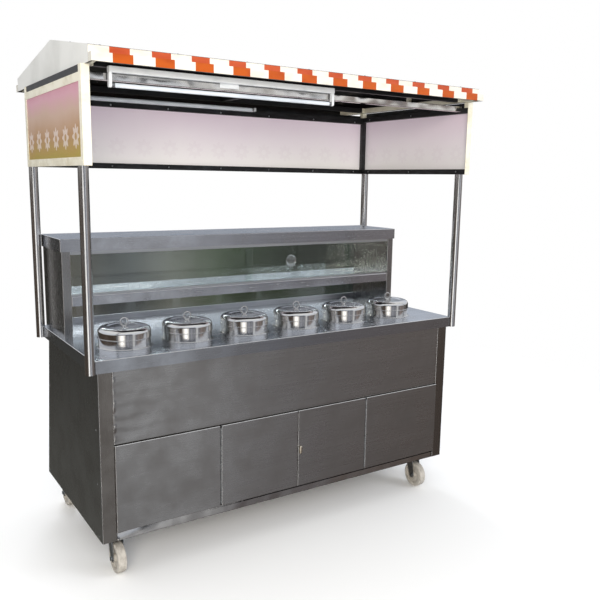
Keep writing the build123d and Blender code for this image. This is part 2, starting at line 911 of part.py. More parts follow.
def roof_frame():
    """The tubes inside the roof: stubs, end rails, cross rails, eave rails, ridge and its king posts."""
    base = eave_height + sheet
    rail_top = base + frame_tube
    rail_z = (base, rail_top)
    end_x = (roof_half - sheet - frame_tube, roof_half - sheet)
    inside_x = (-end_x[0], end_x[0])
    full_y = (roof_front + sheet, roof_rear - sheet)
    ridge_y = (ridge - roof_tube / 2, ridge + roof_tube / 2)
    ridge_top = min(roof_underside(y) for y in ridge_y)
    king_z = (rail_top, ridge_top - roof_tube)
    long_x = (-end_x[1], end_x[1])
    stub_x = (sign_outer_x - sign_thickness - frame_tube, sign_outer_x - sign_thickness)
    stub_rows = (frame_front_y + angle_wall, sign_outer_y - sign_thickness - frame_tube)
    pieces = both_ends(tube_along(1, end_x, full_y, rail_z))
    for row in stub_rows:
        pieces += both_ends(tube_along(2, stub_x, (row, row + frame_tube), (sign_z[1], eave_height)))
    for row in post_rows:
        pieces.append(tube_along(0, inside_x, (row - frame_tube / 2, row + frame_tube / 2), rail_z))
    cross_y = (post_rows[0] + frame_tube / 2, post_rows[1] - frame_tube / 2)
    pieces.append(tube_along(1, (-frame_tube / 2, frame_tube / 2), cross_y, rail_z))
    eave_z = (rail_top, rail_top + roof_tube)
    for eave_y in ((full_y[0], full_y[0] + roof_tube), (full_y[1] - roof_tube, full_y[1])):
        pieces.append(tube_along(0, long_x, eave_y, eave_z))
    pieces.append(tube_along(0, long_x, ridge_y, (ridge_top - roof_tube, ridge_top)))
    for middle in (-(end_x[0] + end_x[1]) / 2, 0, (end_x[0] + end_x[1]) / 2):
        king_x = (middle - roof_tube / 2, middle + roof_tube / 2)
        pieces.append(tube_along(2, king_x, ridge_y, king_z))
    return Compound(pieces)


# Lights


light_left = -post_x + post_radius
front_light_x = (light_left + front_light_gap, light_left + front_light_gap + front_light_length)
rear_light_x = (light_left + rear_light_gap, light_left + rear_light_gap + rear_light_length)
beam_face = post_rows[0] - frame_tube / 2
bracket_face = beam_face - light_bracket
front_batten_z = (beam_top, beam_top + front_batten_height)
front_lamp_y = bracket_face - front_batten_depth / 2
front_lamp_z = beam_top - front_lamp_drop
rear_batten_back = sign_outer_y - sign_thickness - frame_tube
rear_batten_y = (rear_batten_back - rear_batten_depth, rear_batten_back)
rear_light_top = canopy_top + rear_light_rise
rear_batten_z = (rear_light_top - rear_batten_height, rear_light_top)
rear_lamp_y = rear_batten_y[0] - rear_holder_depth / 2
rear_lamp_z = sum(rear_batten_z) / 2


def holder_ends(light_x):
    """The two lengths along X that the holders of a light fill."""
    return ((light_x[0], light_x[0] + holder_length), (light_x[1] - holder_length, light_x[1]))


def light_battens():
    """The front batten on its bracket, and the slim batten at the top of the back panel."""
    front = tray(2, 1, front_light_x, (bracket_face - front_batten_depth, bracket_face), front_batten_z)
    middle = sum(front_light_x) / 2
    bracket_x = (middle - light_bracket_length / 2, middle + light_bracket_length / 2)
    bracket = block(bracket_x, (bracket_face, beam_face), (beam_top - light_bracket_drop, front_batten_z[1]))
    rear = block(rear_light_x, rear_batten_y, rear_batten_z)
    return Compound([front, bracket, rear])


def lamp_holders():
    """The holders at the ends of both lamps: rounded arms at the front, plain blocks at the rear."""
    pieces = []
    arm_y = (front_lamp_y - front_holder_radius, front_lamp_y + front_holder_radius)
    for x in holder_ends(front_light_x):
        foot = Pos(0, front_lamp_y, front_lamp_z) * bar_along_x(front_holder_radius, x)
        pieces.append(block(x, arm_y, (front_lamp_z, front_batten_z[0])) + foot)
    for x in holder_ends(rear_light_x):
        pieces.append(block(x, (rear_batten_y[0] - rear_holder_depth, rear_batten_y[0]), rear_batten_z))
    return Compound(pieces)


def lamp(light_x):
    """A straight lamp between the holders of a light, on the origin's axis."""
    return bar_along_x(lamp_radius, (light_x[0] + holder_length, light_x[1] - holder_length))


def light_tubes():
    """The two straight lamps."""
    front = Pos(0, front_lamp_y, front_lamp_z) * lamp(front_light_x)
    rear = Pos(0, rear_lamp_y, rear_lamp_z) * lamp(rear_light_x)
    return Compound([front, rear])


# Castors


plate_bottom = castor_height - castor_plate
race_bottom = plate_bottom - race_height
crown_top = race_bottom - race_clearance
crown_bottom = crown_top - crown_height


def castor_bolt_places():
    """The bolt positions on one top plate."""
    half_x = castor_bolt_span_x / 2
    half_y = castor_bolt_span_y / 2
    return [Pos(x, y, 0) for x in (-half_x, half_x) for y in (-half_y, half_y)]


def castor_plates():
    """The top plates with their fixed bearing races, bored for the king pin and the bolts."""
    plate = block(
        (-castor_plate_length / 2, castor_plate_length / 2),
        (-castor_plate_width / 2, castor_plate_width / 2),
        (plate_bottom, castor_height),
    )
    plate = plate + upright(race_radius, (race_bottom, plate_bottom))
    bore_z = (race_bottom - overcut, castor_height + overcut)
    plate = plate - upright(king_pin_radius + running_clearance, bore_z)
    for place in castor_bolt_places():
        plate = plate - place * upright(castor_bolt_radius + seat_clearance, bore_z)
    return Compound(at_corners(plate, castor_x, castor_rows))


def castor_bolts():
    """The hexagon bolts through the corners of each top plate."""
    head = Pos(0, 0, plate_bottom) * extrude(RegularPolygon(castor_bolt_head_radius, 6), -castor_bolt_head)
    bolt = head + upright(castor_bolt_radius, (plate_bottom, castor_height))
    bolts = []
    for place in castor_bolt_places():
        bolts += at_corners(place * bolt, castor_x, castor_rows)
    return Compound(bolts)


def castor_fork():
    """The crown with its king pin and two raked cheeks, and the axle bolt that they hold."""
    cheek_outline = [
        (-fork_crown_half - fork_plate, crown_bottom),
        (fork_crown_half, crown_bottom),
        (-castor_trail + fork_foot_radius, wheel_radius),
        (-castor_trail + fork_foot_radius / 2, wheel_radius - fork_foot_radius),
        (-castor_trail - fork_foot_radius / 2, wheel_radius - fork_foot_radius),
        (-castor_trail - fork_foot_radius, wheel_radius),
    ]
    inner = fork_gap / 2
    outer = inner + fork_plate
    fork = upright(crown_radius, (crown_bottom, crown_top))
    fork = fork + upright(king_pin_radius, (crown_bottom, castor_height - race_clearance))
    for cheek in both_ends(profile_along_x(cheek_outline, (inner, outer))):
        fork = fork + cheek
    axle_line = Pos(0, -castor_trail, wheel_radius)
    fork = fork - axle_line * bar_along_x(axle_radius + seat_clearance, (-outer - overcut, outer + overcut))
    axle = bar_along_x(axle_radius, (-outer, outer))
    for head in both_ends(bar_along_x(axle_head_radius, (outer, outer + axle_head))):
        axle = axle + head
    return Compound([fork, axle_line * axle])


def castor_wheel():
    """A plain moulded wheel: rounded tread, thinner web and a longer hub."""
    half = wheel_width / 2
    wheel = bar_along_x(wheel_radius, (-half, half))
    wheel = fillet(wheel.edges().filter_by(GeomType.CIRCLE), wheel_tread_round)
    for recess in both_ends(bar_along_x(wheel_radius - wheel_rim, (half - wheel_recess, half + overcut))):
        wheel = wheel - recess
    wheel = wheel + bar_along_x(hub_radius, (-hub_length / 2, hub_length / 2))
    wheel = wheel - bar_along_x(axle_radius + running_clearance, (-hub_length, hub_length))
    return Pos(0, -castor_trail, wheel_radius) * wheel


# Nodes

single_makers = (
    cabinet_frame,
    cabinet_floor,
    cabinet_end_panels,
    cabinet_back_panel,
    front_upper_panel,
    fixed_front_panels,
    bottom_rail,
    left_door,
    right_door,
    left_door_leaf,
    right_door_leaf,
    hinge_fixed_leaves,
    turn_latch,
    countertop,
    post_sockets,
    canopy_posts,
    showcase_ends,
    showcase_top,
    showcase_shelf,
    pane_tracks,
    left_pane,
    right_pane,
    rear_glass,
    rear_glass_channels,
    canopy_corner_angles,
    canopy_rails,
    left_sign_panel,
    back_sign_panel,
    right_sign_panel,
    canopy_frame,
    front_beam,
    roof_frame,
    roof_sheets,
    gables,
    fascias,
    light_battens,
    lamp_holders,
    light_tubes,
    castor_plates,
    castor_bolts,
)

nodes = {maker.__name__: maker() for maker in single_makers}
for number, place in enumerate(pot_places(), start=1):
    nodes[f"pot_{number}"] = Pos(place, pot_row, 0) * pot()
    nodes[f"lid_{number}"] = Pos(place, pot_row, 0) * lid()
for row_name, row_y, heading in zip(("front", "rear"), castor_rows, castor_headings):
    for side_name, side in (("left", -1), ("right", 1)):
        place = Pos(side * castor_x, row_y, 0) * Rot(0, 0, heading)
        nodes[f"{row_name}_{side_name}_castor_fork"] = place * castor_fork()
        nodes[f"{row_name}_{side_name}_castor_wheel"] = place * castor_wheel()

os.makedirs("parts", exist_ok=True)
for name, shape in nodes.items():
    export_step(shape, f"parts/{name}.step")
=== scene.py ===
import math

import bmesh
import bpy
from mathutils import Matrix, Vector, noise


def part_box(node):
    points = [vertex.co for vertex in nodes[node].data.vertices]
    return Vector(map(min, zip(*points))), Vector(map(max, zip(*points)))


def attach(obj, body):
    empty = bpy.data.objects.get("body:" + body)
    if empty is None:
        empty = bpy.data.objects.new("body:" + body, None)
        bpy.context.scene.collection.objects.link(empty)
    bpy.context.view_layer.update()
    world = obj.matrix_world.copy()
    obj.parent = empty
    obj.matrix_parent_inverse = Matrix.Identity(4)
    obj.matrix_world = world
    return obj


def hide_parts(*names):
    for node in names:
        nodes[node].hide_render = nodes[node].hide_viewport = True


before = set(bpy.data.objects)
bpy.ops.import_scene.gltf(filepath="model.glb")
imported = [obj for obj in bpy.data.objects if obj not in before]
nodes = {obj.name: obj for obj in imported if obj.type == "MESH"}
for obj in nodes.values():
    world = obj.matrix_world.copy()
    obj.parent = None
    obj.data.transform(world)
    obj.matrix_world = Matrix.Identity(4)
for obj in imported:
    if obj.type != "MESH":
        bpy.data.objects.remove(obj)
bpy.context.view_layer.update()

# Looks of the pani puri counter: brushed and polished steel, paint, printed panels, glass and lights.
# Sizes are in millimetres unless a line says otherwise. In the model's frame doors face -Y, and +Z is up.

# Camera, found from the edges in the photograph. Its place is in metres, its angles in degrees.
camera_place = (-1.672, -2.9844, 1.5968)
camera_yaw = 33.24
camera_pitch = 9.65
camera_roll = 0.90
camera_lens = 42.55
camera_sensor = 36.0

# Pots
pot_count = 6
counter_height = 920.0
pot_radius = 105.0
pot_wall = 1.0
pot_base_round = 22.0
pot_rim_round = 1.2
curl_round = 0.8
curl_inner_round = 0.4
collar_width = 8.0
collar_height = 3.0
collar_under_round = 0.6
collar_edge_round = 1.2
collar_foot_round = 0.8

# Lids and their ring handles
lid_inside = 106.2
lid_wall = 1.0
lid_hem_width = 1.5
lid_hem_height = 4.0
lid_hem_inner_round = 0.8
lid_hem_round = 1.6
lid_hem_top_round = 0.5
lid_skirt = 24.0
lid_shoulder_height = 20.0
lid_shoulder_steps = 12
lid_crest_radius = 86.0
lid_crest_round = 5.0
lid_well_edge = 72.0
lid_well_radius = 60.0
lid_well_depth = 1.5
ring_radius = 16.0
ring_wire = 2.6
ring_wire_sides = 14
ring_segments = 56
ring_foot_height = 3.0
ring_foot_radius = 7.5
ring_foot_edge = 0.3
ring_foot_round = 2.0
ring_foot_crown = 1.0
ring_foot_sunk = 0.5
small_segments = 32

# The turn latch's crowned front
latch_crown = 4.0
latch_crown_sunk = 0.3

# Sheet panel over the doors. Its dish fades towards the edges by powers of the share of the way there.
sheet = 1.2
fold_radius = 2.5
fold_steps = 4
fold_smooth_angle = 50.0
panel_grid = 12.0
panel_dish = 0.9
dish_power_across = 6
dish_power_up = 4
swell_height = 0.35
swell_length = 460.0
swell_width = 210.0
swell_slice = 3.0
ripple_height = 2.1
ripple_length = 47.0
ripple_reach = 120.0
ripple_power_up = 8
ripple_low_share = 1.15
ripple_share_drop = 0.75
ripple_wander = 1.5
ripple_wander_length = 90.0
ripple_wander_width = 60.0

# Rail under the doors
rail_wall = 1.5
rail_round = 2.0
rail_face_rows = 12
rail_roll = 17.0
rail_roll_reach = 150.0
rail_roll_power = 1.5

# Glass
pane_arris = 0.8
pane_smooth_angle = 30.0
pull_across = 236.0
pull_height = 1194.0
pull_radius = 30.0
pull_rim = 4.0
pull_thickness = 5.0
pull_dish = 3.2
pull_back_round = 0.4
pull_edge_round = 1.6
pull_rim_round = 1.2
pull_dish_round = 3.0
pull_segments = 64

# Stripes of the fascia
stripe_start = -852.0
stripe_pitch = 151.2
stripe_width = 72.0
tier_ledge = 2003.5

# Printed panels
print_bottom = 1633.0
print_top = 1948.0
print_drift = 90.0
rosette_level = 1735.0
rosette_pitch = 133.0
rosette_radius = 36.0
rosette_heart = 13.0
rosette_strength = 0.55
rosette_back_strength = 0.10
petal_depth = 8.0
petal_count = 8

# Roof frame: only its end rails, beyond this place, are painted cream
cream_end = 880.0

# Fasteners. A head's sizes are its radius and its height.
head_segments = 12
head_rings = 6
canopy_tube = 25.0
canopy_back_tube = 35.0
strip_screw_head = (4.2, 2.2)
strip_screw_pitch = 290.0
strip_screw_margin = 60.0
strip_screw_edge = 9.0
rail_half = 15.0
rivet_head = (3.2, 1.3)
rivet_pitch = 230.0
rivet_edge = 14.0
stile_rivet_edge = 40.0
back_rivet_margin = 56.0
apron_bottom = 870.0
back_lean = 120.0
roof_ridge = -60.0
roof_screw_head = (5.0, 2.2)
roof_screw_pitch = 300.0
roof_screw_edge = 60.0

# Lamps
lamp_radius = 8.0
lamp_cap_length = 12.0
lamp_cap_skin = 0.3
lamp_cap_hole = 3.2
lamp_cap_lip = 7.2
lamp_cap_round = 0.6
lamp_cap_edge = 0.3

# Colours and limits that come back
black = "#000000"
white = "#FFFFFF"
whole = (0.0, 1.0)


# Helpers


def colour(code):
    """An sRGB hex code as linear red, green, blue and alpha. Anything else comes back as it is."""
    if not isinstance(code, str):
        return code
    parts = [int(code[place:place + 2], 16) / 255 for place in (1, 3, 5)]
    linear = [part / 12.92 if part <= 0.04045 else ((part + 0.055) / 1.055) ** 2.4 for part in parts]
    return (*linear, 1.0)


def dimmed(code, share):
    """A hex code's linear colour at a share of its strength."""
    return (*[part * share for part in colour(code)[:3]], 1.0)


def feed(node, inputs):
    """Sets inputs by name or number, each to a value, another node's socket, or a node's first socket."""
    for name, value in inputs.items():
        if isinstance(value, bpy.types.Node):
            value = value.outputs[0]
        if isinstance(value, bpy.types.NodeSocket):
            node.id_data.links.new(value, node.inputs[name])
        else:
            node.inputs[name].default_value = value


def add(tree, kind, inputs=None, **settings):
    """Adds one node with its settings and inputs."""
    node = tree.nodes.new(kind)
    for name, value in settings.items():
        setattr(node, name, value)
    feed(node, inputs or {})
    return node


def new_material(name):
    """An empty material: its tree and its main shader, joined to the output."""
    material = bpy.data.materials.new(name)
    material.use_nodes = True
    tree = material.node_tree
    tree.nodes.clear()
    shader = add(tree, "ShaderNodeBsdfPrincipled")
    add(tree, "ShaderNodeOutputMaterial", {"Surface": shader})
    return material, tree, shader


def as_material(recipe):
    """Turns a recipe for a shader's inputs into a function that makes a named material."""
    def make(name, *values, **settings):
        material, tree, shader = new_material(name)
        feed(shader, recipe(tree, *values, **settings))
        return material
    return make


def calc(operation, *values):
    """One step of arithmetic."""
    inputs = dict(enumerate(values))
    return add(values[0].id_data, "ShaderNodeMath", inputs, operation=operation).outputs[0]


def fit(value, old, new=whole, easing="LINEAR"):
    """A value's run between two old limits, carried over to two new ones."""
    inputs = {"Value": value, "From Min": old[0], "From Max": old[1], "To Min": new[0], "To Max": new[1]}
    return add(value.id_data, "ShaderNodeMapRange", inputs, interpolation_type=easing).outputs[0]


def mix(share, first, second):
    """Two colours mixed: all the first at a share of 0, all the second at 1."""
    inputs = {0: share, 6: colour(first), 7: colour(second)}
    return add(share.id_data, "ShaderNodeMix", inputs, data_type="RGBA").outputs[2]


def shaded(tint, shade):
    """One colour multiplied by another."""
    inputs = {0: 1.0, 6: tint, 7: shade}
    return add(tint.id_data, "ShaderNodeMix", inputs, data_type="RGBA", blend_type="MULTIPLY").outputs[2]


def ramp(factor, stops):
    """A colour ramp from a list of (place, colour)."""
    node = add(factor.id_data, "ShaderNodeValToRGB", {"Fac": factor})
    elements = node.color_ramp.elements
    while len(elements) < len(stops):
        elements.new(1.0)
    for element, (place, tint) in zip(elements, stops):
        element.position = place
        element.color = colour(tint)
    return node.outputs["Color"]


def stretch(tree, sizes):
    """Object coordinates for features of these sizes along X, Y and Z, or of one size all ways."""
    sizes = [sizes] * 3 if isinstance(sizes, float) else sizes
    coords = add(tree, "ShaderNodeTexCoord")
    scale = [1000.0 / size for size in sizes]
    return add(tree, "ShaderNodeMapping", {"Vector": coords.outputs["Object"], "Scale": scale})


def soft_noise(tree, sizes, detail, roughness=0.5):
    """Noise with features of these sizes."""
    inputs = {"Vector": stretch(tree, sizes), "Scale": 1.0, "Detail": detail, "Roughness": roughness}
    return add(tree, "ShaderNodeTexNoise", inputs).outputs[0]


def bump(height, strength, distance, under=None):
    """A bump from a height, with its distance in metres, over another bump if one is given."""
    below = {"Normal": under} if under else {}
    inputs = {"Height": height, "Strength": strength, "Distance": distance, **below}
    return add(height.id_data, "ShaderNodeBump", inputs).outputs[0]


def split(vector):
    """The X, Y and Z of a vector."""
    return add(vector.id_data, "ShaderNodeSeparateXYZ", {"Vector": vector}).outputs


def object_place(tree):
    """Where a point is on the object, in metres, split into X, Y and Z."""
    return split(add(tree, "ShaderNodeTexCoord").outputs["Object"])


def face_normal(tree):
    """Which way a face looks, split into X, Y and Z."""
    return split(add(tree, "ShaderNodeNewGeometry").outputs["True Normal"])


@as_material
def clouded_finish(tree, sizes, detail, stops, rough, more=None):
    """A finish whose tint and roughness follow one noise. More of the shader's inputs go by name."""
    cloud = soft_noise(tree, sizes, detail)
    tint = ramp(cloud, stops)
    return {"Base Color": tint, "Roughness": fit(cloud, whole, rough), **(more or {})}


# Metals


@as_material
def brushed_steel(tree, grain, base, roughness, upright_light_share=1.0):
    """Brushed stainless sheet: straight streaks, drawn wider than real so that they show, faint hand marks,
    a slightly uneven face and a painted highlight on its folds. Upright faces are darkened by a share, as
    painted shade."""
    streak_width = 3.0
    streak_length = 420.0
    streak_sizes = [streak_width] * 3
    streak_sizes["XYZ".index(grain)] = streak_length
    streaks = soft_noise(tree, streak_sizes, detail=5.0, roughness=0.65)
    marks = soft_noise(tree, 140.0, detail=4.0, roughness=0.6)
    swell = soft_noise(tree, 260.0, detail=1.0)
    streak_tint = ramp(streaks, [(0.30, dimmed(base, 0.92)), (0.72, base)])
    mark_shade = ramp(marks, [(0.35, "#EDEBE9"), (0.62, white)])
    tint = shaded(streak_tint, mark_shade)
    across, along, up = [calc("ABSOLUTE", part) for part in face_normal(tree)]
    # Painted shade: upright faces are darkened to the given share of the brightness.
    upright_light = fit(up, (0.2, 0.8), (upright_light_share, 1.0))
    upright_shaded_tint = add(tree, "ShaderNodeVectorMath", {0: tint, "Scale": upright_light}, operation="SCALE")
    squareness = calc("MAXIMUM", calc("MAXIMUM", across, along), up)
    fold_highlight = fit(squareness, (0.97, 0.90))
    streak_rough = fit(streaks, (0.3, 0.7), (roughness - 0.03, roughness + 0.04))
    mark_rough = fit(marks, (0.35, 0.7), (0.05, -0.03))
    flat_rough = calc("ADD", streak_rough, mark_rough)
    fold_rough = 0.14
    swell_bump = bump(swell, strength=0.3, distance=0.004)
    return {
        # Folds are mixed towards near-white: a painted highlight.
        "Base Color": mix(fold_highlight, upright_shaded_tint, "#F4F3F1"),
        "Roughness": calc("MULTIPLY_ADD", fold_highlight, fold_rough, flat_rough),
        "Normal": bump(streaks, strength=0.03, distance=0.0006, under=swell_bump),
        "Metallic": 1.0,
    }


@as_material
def polished_metal(tree, base, roughness, unevenness):
    """Mirror polished tube and bar with a few soft smears. An uneven wall breaks up what it mirrors."""
    smears = soft_noise(tree, (60.0, 60.0, 180.0), detail=4.0)
    waves = soft_noise(tree, 240.0, detail=2.0)
    return {
        "Base Color": ramp(smears, [(0.35, base), (0.75, dimmed(base, 0.88))]),
        "Roughness": fit(smears, (0.4, 0.75), (roughness, roughness + 0.10)),
        "Normal": bump(waves, strength=unevenness, distance=0.05),
        "Metallic": 1.0,
    }


@as_material
def spun_steel(tree, base, roughness):
    """Spun stainless: mirror bright, with polishing rings, wider than real, along the piece's own map."""
    ring_width = 2.2
    own_map = add(tree, "ShaderNodeUVMap", uv_map="turning")
    along = calc("MULTIPLY", split(own_map)["Y"], 1000.0 / ring_width)
    rings = add(tree, "ShaderNodeTexNoise", {"W": along, "Scale": 1.0, "Detail": 4.0}, noise_dimensions="1D")
    smears = soft_noise(tree, 45.0, detail=4.0)
    return {
        "Base Color": ramp(rings, [(0.35, dimmed(base, 0.84)), (0.6, base)]),
        "Roughness": fit(smears, (0.4, 0.75), (roughness, roughness + 0.08)),
        "Normal": bump(rings, strength=0.06, distance=0.0005),
        "Metallic": 1.0,
        "Tangent": add(tree, "ShaderNodeTangent", direction_type="UV_MAP", uv_map="turning"),
        "Anisotropic": 0.5,
        "Anisotropic Rotation": 0.25,
    }


@as_material
def zinc_plate(tree):
    """Zinc plated pressed steel: dull bluish grey with a spangled, patchy tone."""
    spangle = 6.0
    patches = add(tree, "ShaderNodeTexVoronoi", {"Vector": stretch(tree, spangle), "Scale": 1.0})
    cloud = soft_noise(tree, 25.0, detail=4.0)
    return {
        "Base Color": ramp(patches.outputs["Color"], [(0.2, "#9FA3A6"), (0.9, "#C2C4C4")]),
        "Roughness": fit(cloud, whole, (0.26, 0.52)),
        "Metallic": 1.0,
    }


# Paints, prints and plastics


@as_material
def dusty_paint(tree, base, shade, roughness):
    """Brushed-on enamel: a slightly rippled gloss, with a little grime that gathers in patches."""
    grime = soft_noise(tree, (110.0, 110.0, 60.0), detail=6.0, roughness=0.62)
    ripple = soft_noise(tree, 7.0, detail=2.0)
    return {
        "Base Color": ramp(grime, [(0.30, shade), (0.56, base)]),
        "Roughness": fit(grime, (0.3, 0.7), (roughness + 0.15, roughness)),
        "Normal": bump(ripple, strength=0.15, distance=0.0006),
    }


@as_material
def roof_frame_paint(tree):
    """The roof's inner tubes: near-black under the sheets as painted shade, and cream enamel on the end rails
    that show.
    """
    out = calc("ABSOLUTE", object_place(tree)["X"])
    is_end = calc("GREATER_THAN", out, cream_end / 1000)
    grime = soft_noise(tree, (110.0, 110.0, 60.0), detail=6.0)
    cream_coat = ramp(grime, [(0.30, "#D9D2BA"), (0.56, "#F1EDDA")])
    # Painted shade: near-black for the tubes under the sheets.
    under_sheet_shade = ramp(grime, [(0.35, "#131415"), (0.75, "#26272A")])
    return {"Base Color": mix(is_end, under_sheet_shade, cream_coat), "Roughness": 0.42}


@as_material
def roof_paint(tree):
    """Pale painted sheet outside, with rain streaks down the slopes. Its inside is near-black, painted shade
    under the roof.
    """
    streaks = soft_noise(tree, (40.0, 260.0, 260.0), detail=5.0)
    outside = ramp(streaks, [(0.28, "#DADBD6"), (0.55, "#EEEFEB")])
    # Painted shade: the inside faces are near-black.
    inside = ramp(streaks, [(0.3, "#141516"), (0.7, "#222325")])
    facing = face_normal(tree)
    side = calc("SIGN", object_place(tree)["X"])
    out = calc("MULTIPLY_ADD", facing["X"], side, facing["Z"])
    shown = calc("GREATER_THAN", out, 0.2)
    return {"Base Color": mix(shown, inside, outside), "Roughness": 0.42}


@as_material
def fascia_paint(tree):
    """White painted fascia with orange bars, salmon on the upper tier. The inside and underside are
    near-black, painted shade.
    """
    place = object_place(tree)
    along = calc("ADD", place["X"], -stripe_start / 1000)
    in_pitch = calc("FLOORED_MODULO", along, stripe_pitch / 1000)
    in_bar = calc("LESS_THAN", in_pitch, stripe_width / 1000)
    after_start = calc("GREATER_THAN", along, 0.0)
    bar = calc("MULTIPLY", in_bar, after_start)
    fade = soft_noise(tree, (90.0, 90.0, 40.0), detail=5.0)
    ground = ramp(fade, [(0.28, "#D2CFC2"), (0.5, "#E6E3D7")])
    upper = ramp(fade, [(0.3, "#AE451E"), (0.6, "#BE552C")])
    lower = ramp(fade, [(0.3, "#A84404"), (0.6, "#BA5306")])
    high = calc("GREATER_THAN", place["Z"], tier_ledge / 1000)
    outside = mix(bar, ground, mix(high, lower, upper))
    # Painted shade: faces turned inwards or down are near-black.
    facing = face_normal(tree)
    out = calc("MULTIPLY", facing["Y"], calc("SIGN", place["Y"]))
    inward = calc("LESS_THAN", out, -0.5)
    under = calc("LESS_THAN", facing["Z"], -0.5)
    shaded_faces = calc("MAXIMUM", inward, under)
    return {"Base Color": mix(shaded_faces, outside, "#1B1C1D"), "Roughness": 0.40}


@as_material
def printed_panel(tree, along_axis, outward_axis, outward_way, glow):
    """Flex print: soft bands from olive through tan to pink, with a row of pale rosettes low down. Its plain
    back, lilac towards the top, has a painted glow that stands in for the daylight coming through the print."""
    place = object_place(tree)
    wander = soft_noise(tree, 190.0, detail=2.0)
    drift = calc("MULTIPLY_ADD", wander, print_drift / 1000, place["Z"])
    limits = [(level + print_drift / 2) / 1000 for level in (print_bottom, print_top)]
    height = fit(drift, limits)
    bands = ramp(height, [
        (0.0, "#A99C38"), (0.18, "#AF9244"), (0.36, "#B0875A"),
        (0.62, "#C6A793"), (0.82, "#D29CAA"), (1.0, "#CB7F97")])
    across = calc("WRAP", place[along_axis], rosette_pitch / 2000, -rosette_pitch / 2000)
    rise = calc("ADD", place["Z"], -rosette_level / 1000)
    flat = add(tree, "ShaderNodeCombineXYZ", {"X": across, "Y": rise})
    reach = add(tree, "ShaderNodeVectorMath", {0: flat}, operation="LENGTH").outputs["Value"]
    turn = calc("ARCTAN2", rise, across)
    petals = calc("COSINE", calc("MULTIPLY", turn, petal_count))
    edge = calc("MULTIPLY_ADD", petals, petal_depth / 1000, rosette_radius / 1000)
    inside_petals = calc("LESS_THAN", reach, edge)
    outside_heart = calc("GREATER_THAN", reach, rosette_heart / 1000)
    rosette = calc("MULTIPLY", inside_petals, outside_heart)
    front = mix(calc("MULTIPLY", rosette, rosette_strength), bands, "#EFE6E2")
    plain_back = ramp(height, [(0.0, "#D6D5D2"), (0.55, "#D5CCD2"), (1.0, "#D0BFCC")])
    back = mix(calc("MULTIPLY", rosette, rosette_back_strength), plain_back, "#B9A9B4")
    facing = calc("MULTIPLY", face_normal(tree)[outward_axis], outward_way)
    is_front = calc("GREATER_THAN", facing, 0.0)
    return {
        "Base Color": mix(is_front, back, front),
        # Painted light: the plain back glows by emission.
        "Emission Color": mix(is_front, back, black),
        "Emission Strength": glow,
        "Roughness": 0.40,
    }


@as_material
def opal_lamp(tree):
    """Coated lamp glass: chalky white under a glossy skin, a little cloudy, with a low glow."""
    cloud = soft_noise(tree, (120.0, 20.0, 20.0), detail=3.0)
    tint = ramp(cloud, [(0.3, "#CBD4DD"), (0.6, "#E4EBF2")])
    return {"Base Color": tint, "Emission Color": tint, "Emission Strength": 0.05, "Roughness": 0.12}


@as_material
def clear_glass(tree):
    """Float glass: clear, with the green that shows at its cut edges and a few dust marks."""
    dust = soft_noise(tree, 70.0, detail=6.0)
    flat = calc("ABSOLUTE", face_normal(tree)["Y"])
    is_face = calc("GREATER_THAN", flat, 0.7)
    return {
        "Base Color": mix(is_face, "#9FC4B4", "#F2F7F4"),
        "Roughness": fit(dust, (0.5, 0.8), (0.0, 0.05)),
        "Transmission Weight": 1.0,
        "IOR": 1.5,
    }


@as_material
def worn_nylon(tree):
    """Moulded nylon wheel: warm grey, scuffed paler and dirtier on the tread."""
    scuffs = soft_noise(tree, (9.0, 22.0, 22.0), detail=7.0, roughness=0.7)
    return {
        "Base Color": ramp(scuffs, [(0.30, "#8B867D"), (0.55, "#B5B0A7"), (0.8, "#C6C2BA")]),
        "Roughness": fit(scuffs, whole, (0.42, 0.68)),
        "Normal": bump(scuffs, strength=0.25, distance=0.0008),
    }


panel_steel = brushed_steel("brushed stainless sheet", "X", "#B7B6B4", roughness=0.27)
end_steel = brushed_steel("brushed stainless sheet, upright grain", "Z", "#A9A9A8", roughness=0.24)
# Painted shade: the frame's stiles get a darker, brownish base for the darker reflection they show.
shaded_frame_steel = brushed_steel("brushed stainless tube, upright grain", "Z", "#938E88", roughness=0.24)
# Painted light: the showcase's top and shelf get a brighter, bluish base that stands in for the sky they
# mirror.
sky_lit_shelf_steel = brushed_steel("brushed stainless shelf", "X", "#C4C7CD", roughness=0.21)
# Painted light: the countertop's bright bluish base stands in for the sky it mirrors, and its upright faces
# are darkened to 70 % as painted shade.
sky_lit_counter_steel = brushed_steel(
    "brushed stainless countertop", "X", "#D3D7DD", roughness=0.21, upright_light_share=0.70)
post_steel = polished_metal("polished stainless tube", "#E2E3E4", roughness=0.16, unevenness=0.0)
rail_steel = polished_metal("polished stainless rail", "#BDBBB8", roughness=0.17, unevenness=0.18)
beam_steel = polished_metal("polished stainless box tube", "#E6E4E0", roughness=0.12, unevenness=0.6)
latch_brass = polished_metal("polished pale brass", "#EFE3CE", roughness=0.20, unevenness=0.0)
pot_steel = spun_steel("spun stainless", "#DFDEDC", roughness=0.09)
castor_zinc = zinc_plate("zinc plated steel")
cream_enamel = dusty_paint("cream enamel", "#F1EDDA", "#D9D2BA", roughness=0.30)
roof_enamel = roof_paint("pale roof enamel")
roof_tube_enamel = roof_frame_paint("roof tube enamel")
fascia_enamel = fascia_paint("striped fascia enamel")
lamp_opal = opal_lamp("opal lamp glass")
float_glass = clear_glass("float glass")
wheel_nylon = worn_nylon("scuffed nylon")

# The showcase's tracks: satin, with lines along their length
track_aluminium = clouded_finish(
    "mill finish aluminium", (500.0, 1.5, 1.5), 3.0, [(0.3, "#B9BBBE"), (0.7, "#D7D9DB")], (0.24, 0.42),
    {"Metallic": 1.0})

